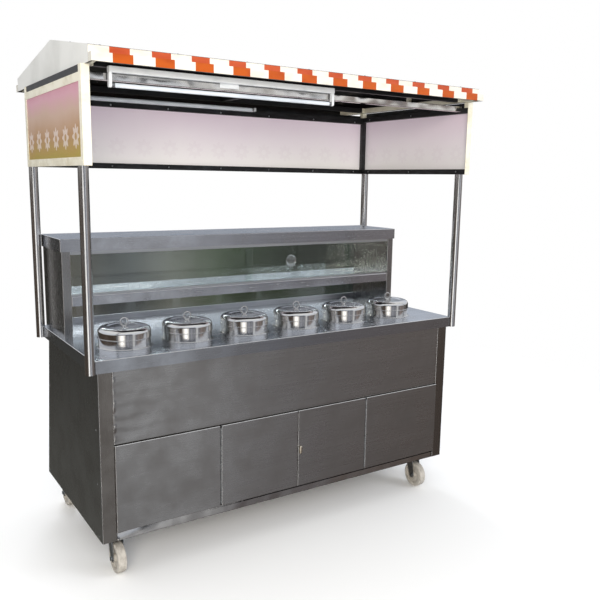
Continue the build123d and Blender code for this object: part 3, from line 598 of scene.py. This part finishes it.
# The canopy's dark tubes, with dust along them
tube_enamel = clouded_finish(
    "black satin enamel", (60.0, 60.0, 12.0), 6.0, [(0.45, "#121314"), (0.8, "#2E3034")], (0.36, 0.6))

# The light fittings, with a little grime
fitting_enamel = clouded_finish(
    "white stove enamel", (80.0, 30.0, 30.0), 5.0, [(0.3, "#DADFE3"), (0.55, "#F0F4F7")], (0.42, 0.25))

# The finger pull, dulled by handling
pull_acrylic = clouded_finish(
    "clear acrylic", 12.0, 4.0, [(0.3, "#D3D8D8"), (0.7, "#E9EDED")], (0.08, 0.30),
    {"Transmission Weight": 0.92, "IOR": 1.49})

node_finishes = {
    "cabinet_end_panels": end_steel,
    "cabinet_back_panel": end_steel,
    "showcase_ends": end_steel,
    "countertop": sky_lit_counter_steel,
    "cabinet_frame": shaded_frame_steel,
    "showcase_top": sky_lit_shelf_steel,
    "showcase_shelf": sky_lit_shelf_steel,
    "front_beam": beam_steel,
    "hinge_fixed_leaves": castor_zinc,
    "left_door_leaf": castor_zinc,
    "right_door_leaf": castor_zinc,
    "turn_latch": latch_brass,
    "roof_frame": roof_tube_enamel,
    # The glow values below are painted light on the backs of the prints.
    "left_sign_panel": printed_panel("flex print, left end", "Y", "X", -1.0, glow=0.36),
    "right_sign_panel": printed_panel("flex print, right end", "Y", "X", 1.0, glow=0.26),
    "back_sign_panel": printed_panel("flex print, back", "X", "Y", 1.0, glow=0.36),
}
slot_finishes = {
    "sheet_steel": panel_steel,
    "polished_steel": post_steel,
    "cream_paint": cream_enamel,
    "roof_paint": roof_enamel,
    "fascia_paint": fascia_enamel,
    "dark_strip": tube_enamel,
    "pane_glass": float_glass,
    "track_alloy": track_aluminium,
    "white_plastic": fitting_enamel,
    "lamp_glass": lamp_opal,
    "castor_steel": castor_zinc,
    "wheel_nylon": wheel_nylon,
}
for node_name, node_object in nodes.items():
    for material_slot in node_object.material_slots:
        slot_name = material_slot.material.name.split(".")[0]
        material_slot.material = node_finishes.get(node_name) or slot_finishes[slot_name]


# Making pieces


def box_mm(node):
    """A node's lowest and highest corners in millimetres."""
    return [corner * 1000 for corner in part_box(node)]


def new_object(name, data):
    """An object in the scene with this data."""
    made = bpy.data.objects.new(name, data)
    bpy.context.scene.collection.objects.link(made)
    return made


def worked_mesh(holder):
    """The mesh that an object's modifiers make of it. The object itself goes."""
    mesh = bpy.data.meshes.new_from_object(holder.evaluated_get(bpy.context.evaluated_depsgraph_get()))
    bpy.data.objects.remove(holder)
    return mesh


def place_piece(name, mesh, material, body, stands_for=()):
    """Puts a finished mesh in the scene as a piece that rides on a body."""
    piece = new_object(name, mesh)
    mesh.materials.clear()
    mesh.materials.append(material)
    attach(piece, body)
    if stands_for:
        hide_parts(*stands_for)


def rounded_path(corners, steps=6):
    """A path through (radius, height) corners. One with a rounding as its third value becomes an arc."""
    path = []
    side_share = 0.49
    for index, (across, up, *rounding) in enumerate(corners):
        here = Vector((across, up))
        if not rounding:
            path.append(here)
            continue
        back = Vector(corners[index - 1][:2]) - here
        ahead = Vector(corners[index + 1][:2]) - here
        half = back.angle(ahead) / 2
        run = min(rounding[0] / math.tan(half), back.length * side_share, ahead.length * side_share)
        centre = here + (back.normalized() + ahead.normalized()).normalized() * run / math.cos(half)
        first = here + back.normalized() * run - centre
        last = here + ahead.normalized() * run - centre
        for step in range(steps + 1):
            spoke = first.lerp(last, step / steps).normalized()
            path.append(centre + spoke * first.length)
    return path


def turned_mesh(name, path, segments=96):
    """Turns a (radius, height) path about Z. Its map is the share of the turn and the length in metres."""
    lengths = [0.0]
    for start, end in zip(path, path[1:]):
        lengths.append(lengths[-1] + (end - start).length / 1000)
    points = []
    for across, up in path:
        for segment in range(segments):
            turn = 2 * math.pi * segment / segments
            points.append((across * math.cos(turn) / 1000, across * math.sin(turn) / 1000, up / 1000))
    faces = []
    maps = []
    for row in range(len(path) - 1):
        low = row * segments
        high = low + segments
        near, far = lengths[row:row + 2]
        for segment in range(segments):
            after = (segment + 1) % segments
            faces.append((low + segment, low + after, high + after, high + segment))
            left = segment / segments
            right = (segment + 1) / segments
            maps += [left, near, right, near, right, far, left, far]
    mesh = bpy.data.meshes.new(name)
    mesh.from_pydata(points, [], faces)
    layer = mesh.uv_layers.new(name="turning")
    layer.data.foreach_set("uv", maps)
    return mesh


def lined_mesh(name, lines):
    """A sheet through lines of points in millimetres, each line joined to the next."""
    count = len(lines[0])
    points = [Vector(point) / 1000 for line in lines for point in line]
    faces = []
    for line in range(len(lines) - 1):
        for place in range(count - 1):
            first = line * count + place
            faces.append((first, first + count, first + count + 1, first + 1))
    mesh = bpy.data.meshes.new(name)
    mesh.from_pydata(points, [], faces)
    return mesh


def tidy(mesh, smooth_angle=40.0):
    """Closes seams and poles, turns the faces outwards and shades gentle bends smooth."""
    work = bmesh.new()
    work.from_mesh(mesh)
    bmesh.ops.remove_doubles(work, verts=work.verts, dist=1e-6)
    bmesh.ops.dissolve_degenerate(work, dist=1e-7, edges=work.edges)
    bmesh.ops.recalc_face_normals(work, faces=work.faces)
    work.to_mesh(mesh)
    work.free()
    mesh.shade_smooth()
    mesh.set_sharp_from_angle(angle=math.radians(smooth_angle))
    return mesh


def folded_sheet(mesh, amount):
    """An open sheet, smooth round its folds, given its thickness inwards from its face."""
    holder = new_object("sheet", tidy(mesh, fold_smooth_angle))
    wall = holder.modifiers.new("wall", "SOLIDIFY")
    wall.thickness = amount / 1000
    wall.offset = -1.0
    return worked_mesh(holder)


def join_meshes(name, meshes):
    """One mesh out of several, with their maps."""
    parts = [new_object(name, mesh) for mesh in meshes]
    kept = parts[0]
    with bpy.context.temp_override(active_object=kept, selected_editable_objects=parts, object=kept):
        bpy.ops.object.join()
    joined = kept.data
    bpy.data.objects.remove(kept)
    return joined


def moved(mesh, place):
    """Moves a mesh to a place in millimetres."""
    mesh.transform(Matrix.Translation(Vector(place) / 1000))
    return mesh


# Pots and lids


def pot_mesh(low, high):
    """A deep drawn pot: round base, straight wall, flat collar on the counter and a rim curled inwards."""
    collar = pot_radius + collar_width
    collar_top = counter_height + collar_height
    inner = pot_radius - pot_wall
    curl = inner - pot_rim_round
    path = rounded_path([
        (0.0, low),
        (pot_radius, low, pot_base_round),
        (pot_radius, counter_height),
        (collar, counter_height, collar_under_round),
        (collar, collar_top, collar_edge_round),
        (pot_radius, collar_top, collar_foot_round),
        (pot_radius, high, pot_rim_round),
        (curl, high, pot_rim_round),
        (curl, high - 3 * pot_rim_round, curl_round),
        (inner, high - 4 * pot_rim_round, curl_inner_round),
        (inner, low + pot_wall, pot_base_round - pot_wall),
        (0.0, low + pot_wall),
    ])
    return turned_mesh("pot", path)


def lid_shoulder(edge, start, rise):
    """The lid's round shoulder, a quarter of an ellipse from its edge up to its crest."""
    points = []
    for step in range(lid_shoulder_steps + 1):
        turn = math.radians(90 * step / lid_shoulder_steps)
        across = lid_crest_radius + (edge - lid_crest_radius) * math.cos(turn)
        points.append(Vector((across, start + rise * math.sin(turn))))
    return points


def lid_mesh(hem):
    """A pressed lid: rolled hem, straight skirt, round shoulder, flat crest and a shallow well."""
    outside = lid_inside + lid_wall
    bead = outside + lid_hem_width
    hem_top = hem + lid_hem_height
    start = hem + lid_skirt
    crest = start + lid_shoulder_height
    well = crest - lid_well_depth
    skirt = rounded_path([
        (lid_inside, hem_top),
        (lid_inside, hem, lid_hem_inner_round),
        (bead, hem, lid_hem_round),
        (bead, hem_top, lid_hem_round),
        (outside, hem_top, lid_hem_top_round),
        (outside, start),
    ])
    top = rounded_path([
        (lid_crest_radius, crest),
        (lid_well_edge, crest, lid_crest_round),
        (lid_well_radius, well, lid_crest_round),
        (0.0, well),
    ])
    under = [Vector((across, up - lid_wall)) for across, up in reversed(top)]
    outer_shoulder = lid_shoulder(outside, start, lid_shoulder_height)
    inner_shoulder = lid_shoulder(lid_inside, start, lid_shoulder_height - lid_wall)
    path = skirt[:-1] + outer_shoulder + top[1:] + under + inner_shoulder[-2::-1] + skirt[:1]
    return turned_mesh("lid", path)


def ring_meshes(foot_level):
    """The ring handle, standing across the lid, and its domed foot."""
    turns = [2 * math.pi * step / ring_wire_sides for step in range(ring_wire_sides + 1)]
    wire = [Vector((ring_radius + ring_wire * math.cos(turn), ring_wire * math.sin(turn))) for turn in turns]
    ring = turned_mesh("ring", wire, ring_segments)
    ring.transform(Matrix.Rotation(math.radians(90), 4, "X"))
    base = foot_level - ring_foot_sunk
    foot_top = foot_level + ring_foot_height
    moved(ring, (0, 0, foot_top + ring_radius))
    dome = rounded_path([
        (0.0, base),
        (ring_foot_radius, base, ring_foot_edge),
        (ring_foot_radius, foot_top, ring_foot_round),
        (0.0, foot_top + ring_foot_crown),
    ])
    return [ring, turned_mesh("foot", dome, small_segments)]


for number in range(1, pot_count + 1):
    pot = f"pot_{number}"
    lid = f"lid_{number}"
    pot_low, pot_high = box_mm(pot)
    hem = box_mm(lid)[0].z
    middle = (pot_low + pot_high) / 2
    pot_shape = moved(tidy(pot_mesh(pot_low.z, pot_high.z)), (middle.x, middle.y, 0))
    place_piece(f"spun_{pot}", pot_shape, pot_steel, pot, [pot])
    well_level = hem + lid_skirt + lid_shoulder_height - lid_well_depth
    lid_shape = tidy(join_meshes(lid, [lid_mesh(hem), *ring_meshes(well_level)]))
    moved(lid_shape, (middle.x, middle.y, 0))
    place_piece(f"spun_{lid}", lid_shape, pot_steel, lid, [lid])


# Front sheet over the doors, and the rail under them


def fold_rows(low, high, depth):
    """Places across a folded pan, each with its depth behind the face."""
    rows = [(low, depth)]
    for step in range(fold_steps + 1):
        turn = math.radians(90 * step / fold_steps)
        rows.append((low + fold_radius * (1 - math.cos(turn)), fold_radius * (1 - math.sin(turn))))
    far_side = [(low + high - place, back) for place, back in reversed(rows)]
    face = high - low - 2 * fold_radius
    count = max(2, round(face / panel_grid))
    rows += [(low + fold_radius + face * step / count, 0.0) for step in range(1, count)]
    return rows + far_side


def upper_panel_press(across, up, low, high):
    """How far the upper panel's sheet lies behind flat: dished between its folds, rippled at its left."""
    share_x = (across - low.x) / (high.x - low.x)
    share_z = (up - low.z) / (high.z - low.z)
    from_middle_x = abs(2 * share_x - 1)
    from_middle_z = abs(2 * share_z - 1)
    free = (1 - from_middle_x ** dish_power_across) * (1 - from_middle_z ** dish_power_up)
    swell = noise.noise((across / swell_length, up / swell_width, swell_slice))
    wander = noise.noise((across / ripple_wander_length, up / ripple_wander_width, 0.0))
    ripple = math.sin(2 * math.pi * up / ripple_length + ripple_wander * wander)
    fade = math.exp(-(across - low.x) / ripple_reach) * (1 - from_middle_z ** ripple_power_up)
    fade *= ripple_low_share - ripple_share_drop * share_z
    return free * (panel_dish + swell_height * swell) + ripple_height * fade * ripple


def upper_panel_mesh(low, high):
    """The folded panel over the doors, a thin sheet that isn't quite flat."""
    depth = high.y - low.y
    lines = []
    for across, back_x in fold_rows(low.x, high.x, depth):
        line = []
        for up, back_z in fold_rows(low.z, high.z, depth):
            back = max(back_x, back_z)
            if back == 0.0:
                back = upper_panel_press(across, up, low, high)
            line.append((across, low.y + back, up))
        lines.append(line)
    return lined_mesh("upper_panel", lines)


def rail_mesh(low, high):
    """The tube under the doors. At the left end its front has rolled over and looks up."""
    outline = rounded_path([
        (high.y, (low.z + high.z) / 2),
        (high.y, low.z, rail_round),
        (low.y, low.z, rail_round),
        (low.y, high.z, rail_round),
        (high.y, high.z, rail_round),
        (high.y, (low.z + high.z) / 2),
    ])
    front = [point for point in outline if point.x < low.y + rail_round / 2]
    bottom = min(front, key=lambda point: point.y)
    face = max(point.y for point in front) - bottom.y
    levels = [bottom.y + face * row / rail_face_rows for row in range(1, rail_face_rows)]
    after_bottom = outline.index(bottom) + 1
    outline[after_bottom:after_bottom] = [Vector((low.y, level)) for level in levels]
    lines = []
    count = round((high.x - low.x) / panel_grid)
    for step in range(count + 1):
        across = low.x + (high.x - low.x) * step / count
        roll = rail_roll * math.exp(-((across - low.x) / rail_roll_reach) ** 2)
        line = []
        for back, up in outline:
            share = (up - low.z) / (high.z - low.z)
            pushed = roll * share ** rail_roll_power * (high.y - back) / (high.y - low.y)
            line.append((across, back + pushed, up))
        lines.append(line)
    return lined_mesh("rail", lines)


upper_sheet = folded_sheet(upper_panel_mesh(*box_mm("front_upper_panel")), sheet)
place_piece("upper_panel_sheet", upper_sheet, panel_steel, "counter", ["front_upper_panel"])
rail_tube = folded_sheet(rail_mesh(*box_mm("bottom_rail")), rail_wall)
place_piece("bottom_rail_tube", rail_tube, rail_steel, "counter", ["bottom_rail"])


# Glass


def place_pane(name, node, body, low, high):
    """Puts a cut pane, with a fine arris ground along every edge, in place of its node."""
    work = bmesh.new()
    bmesh.ops.create_cube(work, size=1.0)
    bmesh.ops.scale(work, vec=(high - low) / 1000, verts=work.verts)
    bmesh.ops.translate(work, vec=(low + high) / 2000, verts=work.verts)
    bmesh.ops.bevel(work, geom=work.edges[:], offset=pane_arris / 1000, segments=2, affect="EDGES")
    mesh = bpy.data.meshes.new(name)
    work.to_mesh(mesh)
    work.free()
    place_piece(name, tidy(mesh, pane_smooth_angle), float_glass, body, [node])


def pull_mesh(face):
    """The round finger pull: a raised rim round a dished face, stuck on the pane."""
    dish_level = pull_thickness - pull_dish
    path = rounded_path([
        (0.0, 0.0),
        (pull_radius, 0.0, pull_back_round),
        (pull_radius, pull_thickness, pull_edge_round),
        (pull_radius - pull_rim, pull_thickness, pull_rim_round),
        (pull_radius - 2 * pull_rim, dish_level, pull_dish_round),
        (0.0, dish_level),
    ])
    mesh = turned_mesh("pull", path, pull_segments)
    mesh.transform(Matrix.Rotation(math.radians(90), 4, "X"))
    return moved(tidy(mesh), (pull_across, face, pull_height))


# The right pane's node holds its pull too, so its glass is as thick as the left one's
left_low, left_high = box_mm("left_pane")
right_low, right_high = box_mm("right_pane")
right_low.y = right_high.y - (left_high.y - left_low.y)
place_pane("left_sliding_glass", "left_pane", "left_pane", left_low, left_high)
place_pane("right_sliding_glass", "right_pane", "right_pane", right_low, right_high)
place_piece("finger_pull", pull_mesh(right_low.y), pull_acrylic, "right_pane")
place_pane("rear_fixed_glass", "rear_glass", "counter", *box_mm("rear_glass"))


# Fasteners


def head_tree():
    """Geometry nodes that set a domed head on every point, along its outward direction."""
    tree = bpy.data.node_groups.new("fastener heads", "GeometryNodeTree")
    sockets = [
        ("Points", "INPUT", "Geometry"),
        ("Head radius", "INPUT", "Float"),
        ("Head height", "INPUT", "Float"),
        ("Heads", "OUTPUT", "Geometry"),
    ]
    for name, way, kind in sockets:
        tree.interface.new_socket(name, in_out=way, socket_type=f"NodeSocket{kind}")
    given = add(tree, "NodeGroupInput").outputs
    dome = add(tree, "GeometryNodeMeshUVSphere", {
        "Segments": head_segments, "Rings": head_rings, "Radius": 1.0})
    smooth = add(tree, "GeometryNodeSetShadeSmooth", {"Geometry": dome})
    size = add(tree, "ShaderNodeCombineXYZ", {
        "X": given["Head radius"], "Y": given["Head radius"], "Z": given["Head height"]})
    outward = add(tree, "GeometryNodeInputNamedAttribute", {"Name": "outward"}, data_type="FLOAT_VECTOR")
    turn = add(tree, "FunctionNodeAlignRotationToVector", {"Vector": outward}, axis="Z")
    heads = add(tree, "GeometryNodeInstanceOnPoints", {
        "Points": given["Points"], "Instance": smooth, "Rotation": turn, "Scale": size})
    real = add(tree, "GeometryNodeRealizeInstances", {"Geometry": heads})
    add(tree, "NodeGroupOutput", {"Heads": real})
    return tree


heads_tree = head_tree()


def set_heads(name, places, size, material):
    """Sets heads at (point, outward) places, as one plain mesh on the counter."""
    mesh = bpy.data.meshes.new(name)
    mesh.from_pydata([Vector(point) / 1000 for point, outward in places], [], [])
    directions = mesh.attributes.new("outward", "FLOAT_VECTOR", "POINT")
    directions.data.foreach_set("vector", [part for point, outward in places for part in outward])
    holder = new_object("heads", mesh)
    modifier = holder.modifiers.new("heads", "NODES")
    modifier.node_group = heads_tree
    values = {"Head radius": size[0] / 1000, "Head height": size[1] / 1000}
    for socket in heads_tree.interface.items_tree:
        if socket.name in values:
            modifier[socket.identifier] = values[socket.name]
    place_piece(name, worked_mesh(holder), material, "counter")


def spread(low, high, pitch, margin):
    """Even places from one margin to the other, about a pitch apart."""
    count = max(1, round((high - low - 2 * margin) / pitch))
    return [low + margin + (high - low - 2 * margin) * step / count for step in range(count + 1)]


def crossings(across, along, levels, outward):
    """A place at every crossing of these X, Y and Z values, all looking one way."""
    return [((x, y, z), outward) for z in levels for x in across for y in along]


def strip_screw_places():
    """The screws that hold the prints to the black tubes, on the tubes' inner faces."""
    side_low, side_high = box_mm("right_sign_panel")
    back_low, back_high = box_mm("back_sign_panel")
    side_face = side_low.x - canopy_tube
    back_face = back_low.y - canopy_tube
    across = spread(-side_face, side_face, strip_screw_pitch, strip_screw_margin)
    along = spread(side_low.y, back_face, strip_screw_pitch, strip_screw_margin)
    back_levels = (back_low.z + canopy_tube / 2, back_high.z - canopy_back_tube + strip_screw_edge)
    side_levels = (side_low.z + canopy_tube / 2, side_high.z - canopy_tube / 2)
    places = crossings(across, [back_face], back_levels, (0, -1, 0))
    places += crossings([side_face], along, side_levels, (-1, 0, 0))
    return places + crossings([-side_face], along, side_levels, (1, 0, 0))


def canopy_rivet_places():
    """The rivets through the painted rails and corner angles, on their outer faces."""
    low, high = box_mm("canopy_corner_angles")
    rails_low, rails_high = box_mm("canopy_rails")
    levels = (rails_low.z + rail_half, rails_high.z - rail_half)
    across = spread(low.x, high.x, rivet_pitch, rivet_edge)
    along = spread(low.y, high.y, rivet_pitch, rivet_edge)
    places = crossings(across, [high.y], levels, (0, 1, 0))
    places += crossings([low.x], along, levels, (-1, 0, 0))
    places += crossings([high.x], along, levels, (1, 0, 0))
    return places + crossings([low.x + rivet_edge, high.x - rivet_edge], [low.y], levels, (0, -1, 0))


def cabinet_rivet_places():
    """The rivets along the edges of the end sheets and of the leaning back sheet."""
    places = []
    low, high = box_mm("cabinet_end_panels")
    tall = high.z - low.z
    backward = Vector((0, tall, back_lean)).normalized()
    for level in spread(low.z, apron_bottom, rivet_pitch, rivet_edge):
        back = high.y - back_lean * (level - low.z) / tall
        along = (low.y + stile_rivet_edge, back - rivet_edge)
        places += crossings([low.x], along, [level], (-1, 0, 0))
        places += crossings([high.x], along, [level], (1, 0, 0))
        places += crossings([low.x + rivet_edge, high.x - rivet_edge], [back], [level], backward)
    across = spread(low.x, high.x, rivet_pitch, back_rivet_margin)
    for level in (low.z + rivet_edge, apron_bottom - rivet_edge):
        back = high.y - back_lean * (level - low.z) / tall
        places += crossings(across, [back], [level], backward)
    return places


def roof_screw_places():
    """The dome headed screws that hold the roof sheets to the ridge and the eaves."""
    places = []
    low, high = box_mm("roof_sheets")
    rise = high.z - low.z - sheet
    across = spread(low.x, high.x, roof_screw_pitch, roof_screw_edge)
    for eave in (low.y, high.y):
        run = abs(roof_ridge - eave)
        outward = Vector((0, math.copysign(rise, eave - roof_ridge), run)).normalized()
        for share in (roof_screw_edge / run, 1 - roof_screw_edge / run):
            along = eave + (roof_ridge - eave) * share
            places += crossings(across, [along], [low.z + sheet + rise * share], outward)
    return places


set_heads("strip_screws", strip_screw_places(), strip_screw_head, castor_zinc)
set_heads("canopy_rivets", canopy_rivet_places(), rivet_head, cream_enamel)
set_heads("cabinet_rivets", cabinet_rivet_places(), rivet_head, post_steel)
set_heads("roof_screws", roof_screw_places(), roof_screw_head, castor_zinc)


# The turn latch's front


def latch_front_lines(rows=8, steps=48):
    """Lines round the latch's outline, from its back in towards the top of its crown."""
    low, high = box_mm("turn_latch")
    centre = (low + high) / 2
    half_width = (high.x - low.x) / 2
    half_straight = (high.z - low.z) / 2 - half_width
    back = low.y + latch_crown_sunk
    rises = [math.pi / 2 * row / rows for row in range(rows + 1)]
    sections = [(0.0, back)]
    sections += [(half_width * math.cos(rise), back - latch_crown * math.sin(rise)) for rise in rises]
    lines = []
    for reach, depth in sections:
        line = []
        for step in range(steps + 1):
            turn = 2 * math.pi * step / steps
            end = half_straight if step % steps < steps / 2 else -half_straight
            line.append((centre.x + reach * math.cos(turn), depth, centre.z + end + reach * math.sin(turn)))
        lines.append(line)
    return lines


latch_front = tidy(lined_mesh("turn_latch_front", latch_front_lines()))
place_piece("turn_latch_front", latch_front, latch_brass, "turn_latch")


# Lamp ends


def lamp_caps():
    """The metal caps at the ends of both lamps."""
    path = rounded_path([
        (lamp_cap_hole, 0.0),
        (lamp_radius + lamp_cap_skin, 0.0, lamp_cap_round),
        (lamp_radius + lamp_cap_skin, lamp_cap_length, lamp_cap_edge),
        (lamp_cap_lip, lamp_cap_length),
    ])
    caps = []
    lamps = [vertex.co * 1000 for vertex in nodes["light_tubes"].data.vertices]
    for side in (-1, 1):
        points = [point for point in lamps if point.y * side > 0]
        low = [min(point[axis] for point in points) for axis in range(3)]
        high = [max(point[axis] for point in points) for axis in range(3)]
        for end, inward in ((low[0], 1), (high[0], -1)):
            cap = turned_mesh("cap", path, small_segments)
            cap.transform(Matrix.Rotation(math.radians(90 * inward), 4, "Y"))
            caps.append(moved(cap, (end, (low[1] + high[1]) / 2, (low[2] + high[2]) / 2)))
    return tidy(join_meshes("lamp_caps", caps))


place_piece("lamp_end_caps", lamp_caps(), track_aluminium, "counter")


# Stage, light and camera. Sizes here are in metres.


def add_floor():
    """A pale floor that fades out a few metres away. Shiny sheet doesn't mirror it."""
    half = 14.0
    fade_limits = (1.2, 4.0)
    corners = [(-half, -half, 0), (half, -half, 0), (half, half, 0), (-half, half, 0)]
    mesh = bpy.data.meshes.new("floor")
    mesh.from_pydata(corners, [], [(0, 1, 2, 3)])
    floor = new_object("floor", mesh)
    material, tree, shader = new_material("pale floor")
    coords = add(tree, "ShaderNodeTexCoord")
    reach = add(tree, "ShaderNodeVectorMath", {0: coords.outputs["Object"]}, operation="LENGTH")
    far = fit(reach.outputs["Value"], fade_limits, easing="SMOOTHSTEP")
    feed(shader, {"Base Color": colour("#F6F6F4"), "Roughness": 0.9, "Specular IOR Level": 0.1})
    gone = add(tree, "ShaderNodeBsdfTransparent")
    both = add(tree, "ShaderNodeMixShader", {0: far, 1: shader, 2: gone})
    output = next(node for node in tree.nodes if node.type == "OUTPUT_MATERIAL")
    feed(output, {"Surface": both})
    mesh.materials.append(material)
    floor.visible_glossy = False
    floor.visible_transmission = False


def add_surroundings():
    """A plain white backdrop. Shiny sheet mirrors a pale sky over a ring of plain colours, with a glare and a
    dark tree line front left. Turns run from the front through the left, the back and the right."""
    world = bpy.data.worlds.new("studio")
    bpy.context.scene.world = world
    world.use_nodes = True
    tree = world.node_tree
    tree.nodes.clear()
    coords = add(tree, "ShaderNodeTexCoord").outputs["Generated"]
    way = split(coords)
    angle = calc("ARCTAN2", way["X"], way["Y"])
    turn = fit(angle, (-math.pi, math.pi))

    # The ring at eye level and on the ground, with the sun's glare in it
    level_ring = ramp(turn, [
        (0.0, "#9FA1AA"), (0.04, "#9FA1AA"), (0.14, "#5A4F47"), (0.34, "#5A4F47"), (0.46, "#303231"),
        (0.53, "#6E614F"), (0.553, "#3A4048"), (0.563, "#6C6C66"), (0.575, "#4A5542"), (0.592, "#3A4038"),
        (0.61, "#1E2224"), (0.70, "#2A2C2E"), (0.80, "#837C79"), (0.885, "#968A87"), (0.92, "#9E9FA8"),
        (0.940, "#F6F8FC"), (0.951, "#F6F8FC"), (0.966, "#9A9CA5")])
    ground_ring = ramp(turn, [
        (0.0, "#7E7F85"), (0.04, "#7E7F85"), (0.14, "#4A423C"), (0.36, "#4A423C"), (0.46, "#7C7C78"),
        (0.57, "#5C594F"), (0.61, "#1E2224"), (0.70, "#2A2C2E"), (0.80, "#564F4A"), (0.885, "#675B53"),
        (0.92, "#716D72"), (0.940, "#CECFD1"), (0.951, "#CECFD1"), (0.966, "#85878D")])
    down = fit(way["Z"], (-0.1, -0.5))
    ring = mix(down, level_ring, ground_ring)
    in_glare = ramp(turn, [(0.040, black), (0.060, white), (0.110, white), (0.130, black)])
    glare = (1.9, 1.85, 1.8, 1.0)
    lit = mix(in_glare, ring, glare)
    patches = add(tree, "ShaderNodeTexNoise", {"Vector": coords, "Scale": 7.0, "Detail": 3.0})
    patch_shade = ramp(patches, [(0.36, "#C0BFBC"), (0.60, white)])
    patchy = shaded(lit, patch_shade)
    tree_top = fit(way["Z"], (0.0, 0.06))
    tree_shade = ramp(tree_top, [(0.0, white), (1.0, "#3A3E4C")])
    ground = shaded(patchy, tree_shade)

    # The sky above it, with a haze low down behind, and the line where the two meet
    height = fit(way["Z"], (0.0, 0.7))
    sky = ramp(height, [(0.0, "#EFEBE4"), (0.4, "#DEE5F2"), (1.0, "#F3F4F6")])
    trees = ramp(turn, [(0.0, white), (0.15, white), (0.18, black), (0.955, black), (0.965, white)])
    horizon = fit(trees, whole, (0.01, 0.25))
    above = calc("SUBTRACT", way["Z"], horizon)
    up = fit(above, (0.0, 0.06), easing="SMOOTHSTEP")
    behind = ramp(turn, [(0.48, black), (0.51, white), (0.63, white), (0.66, black)])
    low = fit(way["Z"], (0.24, 0.15), easing="SMOOTHSTEP")
    hazy_sky = mix(calc("MULTIPLY", behind, low), sky, "#959CA7")
    mirrored = mix(up, ground, hazy_sky)

    seen = add(tree, "ShaderNodeBackground", {"Color": colour(white), "Strength": 1.0})
    around = add(tree, "ShaderNodeBackground", {"Color": mirrored, "Strength": 1.0})
    path = add(tree, "ShaderNodeLightPath")
    both = add(tree, "ShaderNodeMixShader", {0: path.outputs["Is Camera Ray"], 1: around, 2: seen})
    add(tree, "ShaderNodeOutputWorld", {"Surface": both})


def add_light(name, place, target, size, watts, tint):
    """A soft square light that looks at a target. Shiny sheet doesn't mirror it."""
    data = bpy.data.lights.new(name, "AREA")
    data.size = size
    data.energy = watts
    data.color = colour(tint)[:3]
    light = new_object(name, data)
    light.location = place
    light.rotation_euler = (Vector(target) - Vector(place)).to_track_quat("-Z", "Y").to_euler()
    light.visible_glossy = False


def add_camera():
    """The camera, where the photograph was taken from."""
    yaw, pitch, roll = [math.radians(angle) for angle in (camera_yaw, camera_pitch, camera_roll)]
    forward = Vector((math.sin(yaw) * math.cos(pitch), math.cos(yaw) * math.cos(pitch), -math.sin(pitch)))
    right = Vector((math.cos(yaw), -math.sin(yaw), 0))
    up = right.cross(forward)
    across = right * math.cos(roll) + up * math.sin(roll)
    upward = up * math.cos(roll) - right * math.sin(roll)
    turn = Matrix((across, upward, -forward)).transposed().to_4x4()
    data = bpy.data.cameras.new("camera")
    data.lens = camera_lens
    data.sensor_width = camera_sensor
    camera = new_object("camera", data)
    camera.matrix_world = Matrix.Translation(camera_place) @ turn
    bpy.context.scene.camera = camera


add_floor()
add_surroundings()
add_light("key light", (-3.0, -5.0, 2.2), target=(0, 0, 1.2), size=2.6, watts=260.0, tint="#FFF8EE")
add_light("fill light", (4.0, -4.5, 3.2), target=(0, 0, 1.0), size=2.2, watts=110.0, tint="#F2F5FF")
add_light("rear light", (0.5, 4.8, 4.2), target=(0, 0, 1.4), size=2.4, watts=140.0, tint="#F4F7FF")
add_camera()
bpy.context.scene.view_settings.view_transform = "Standard"
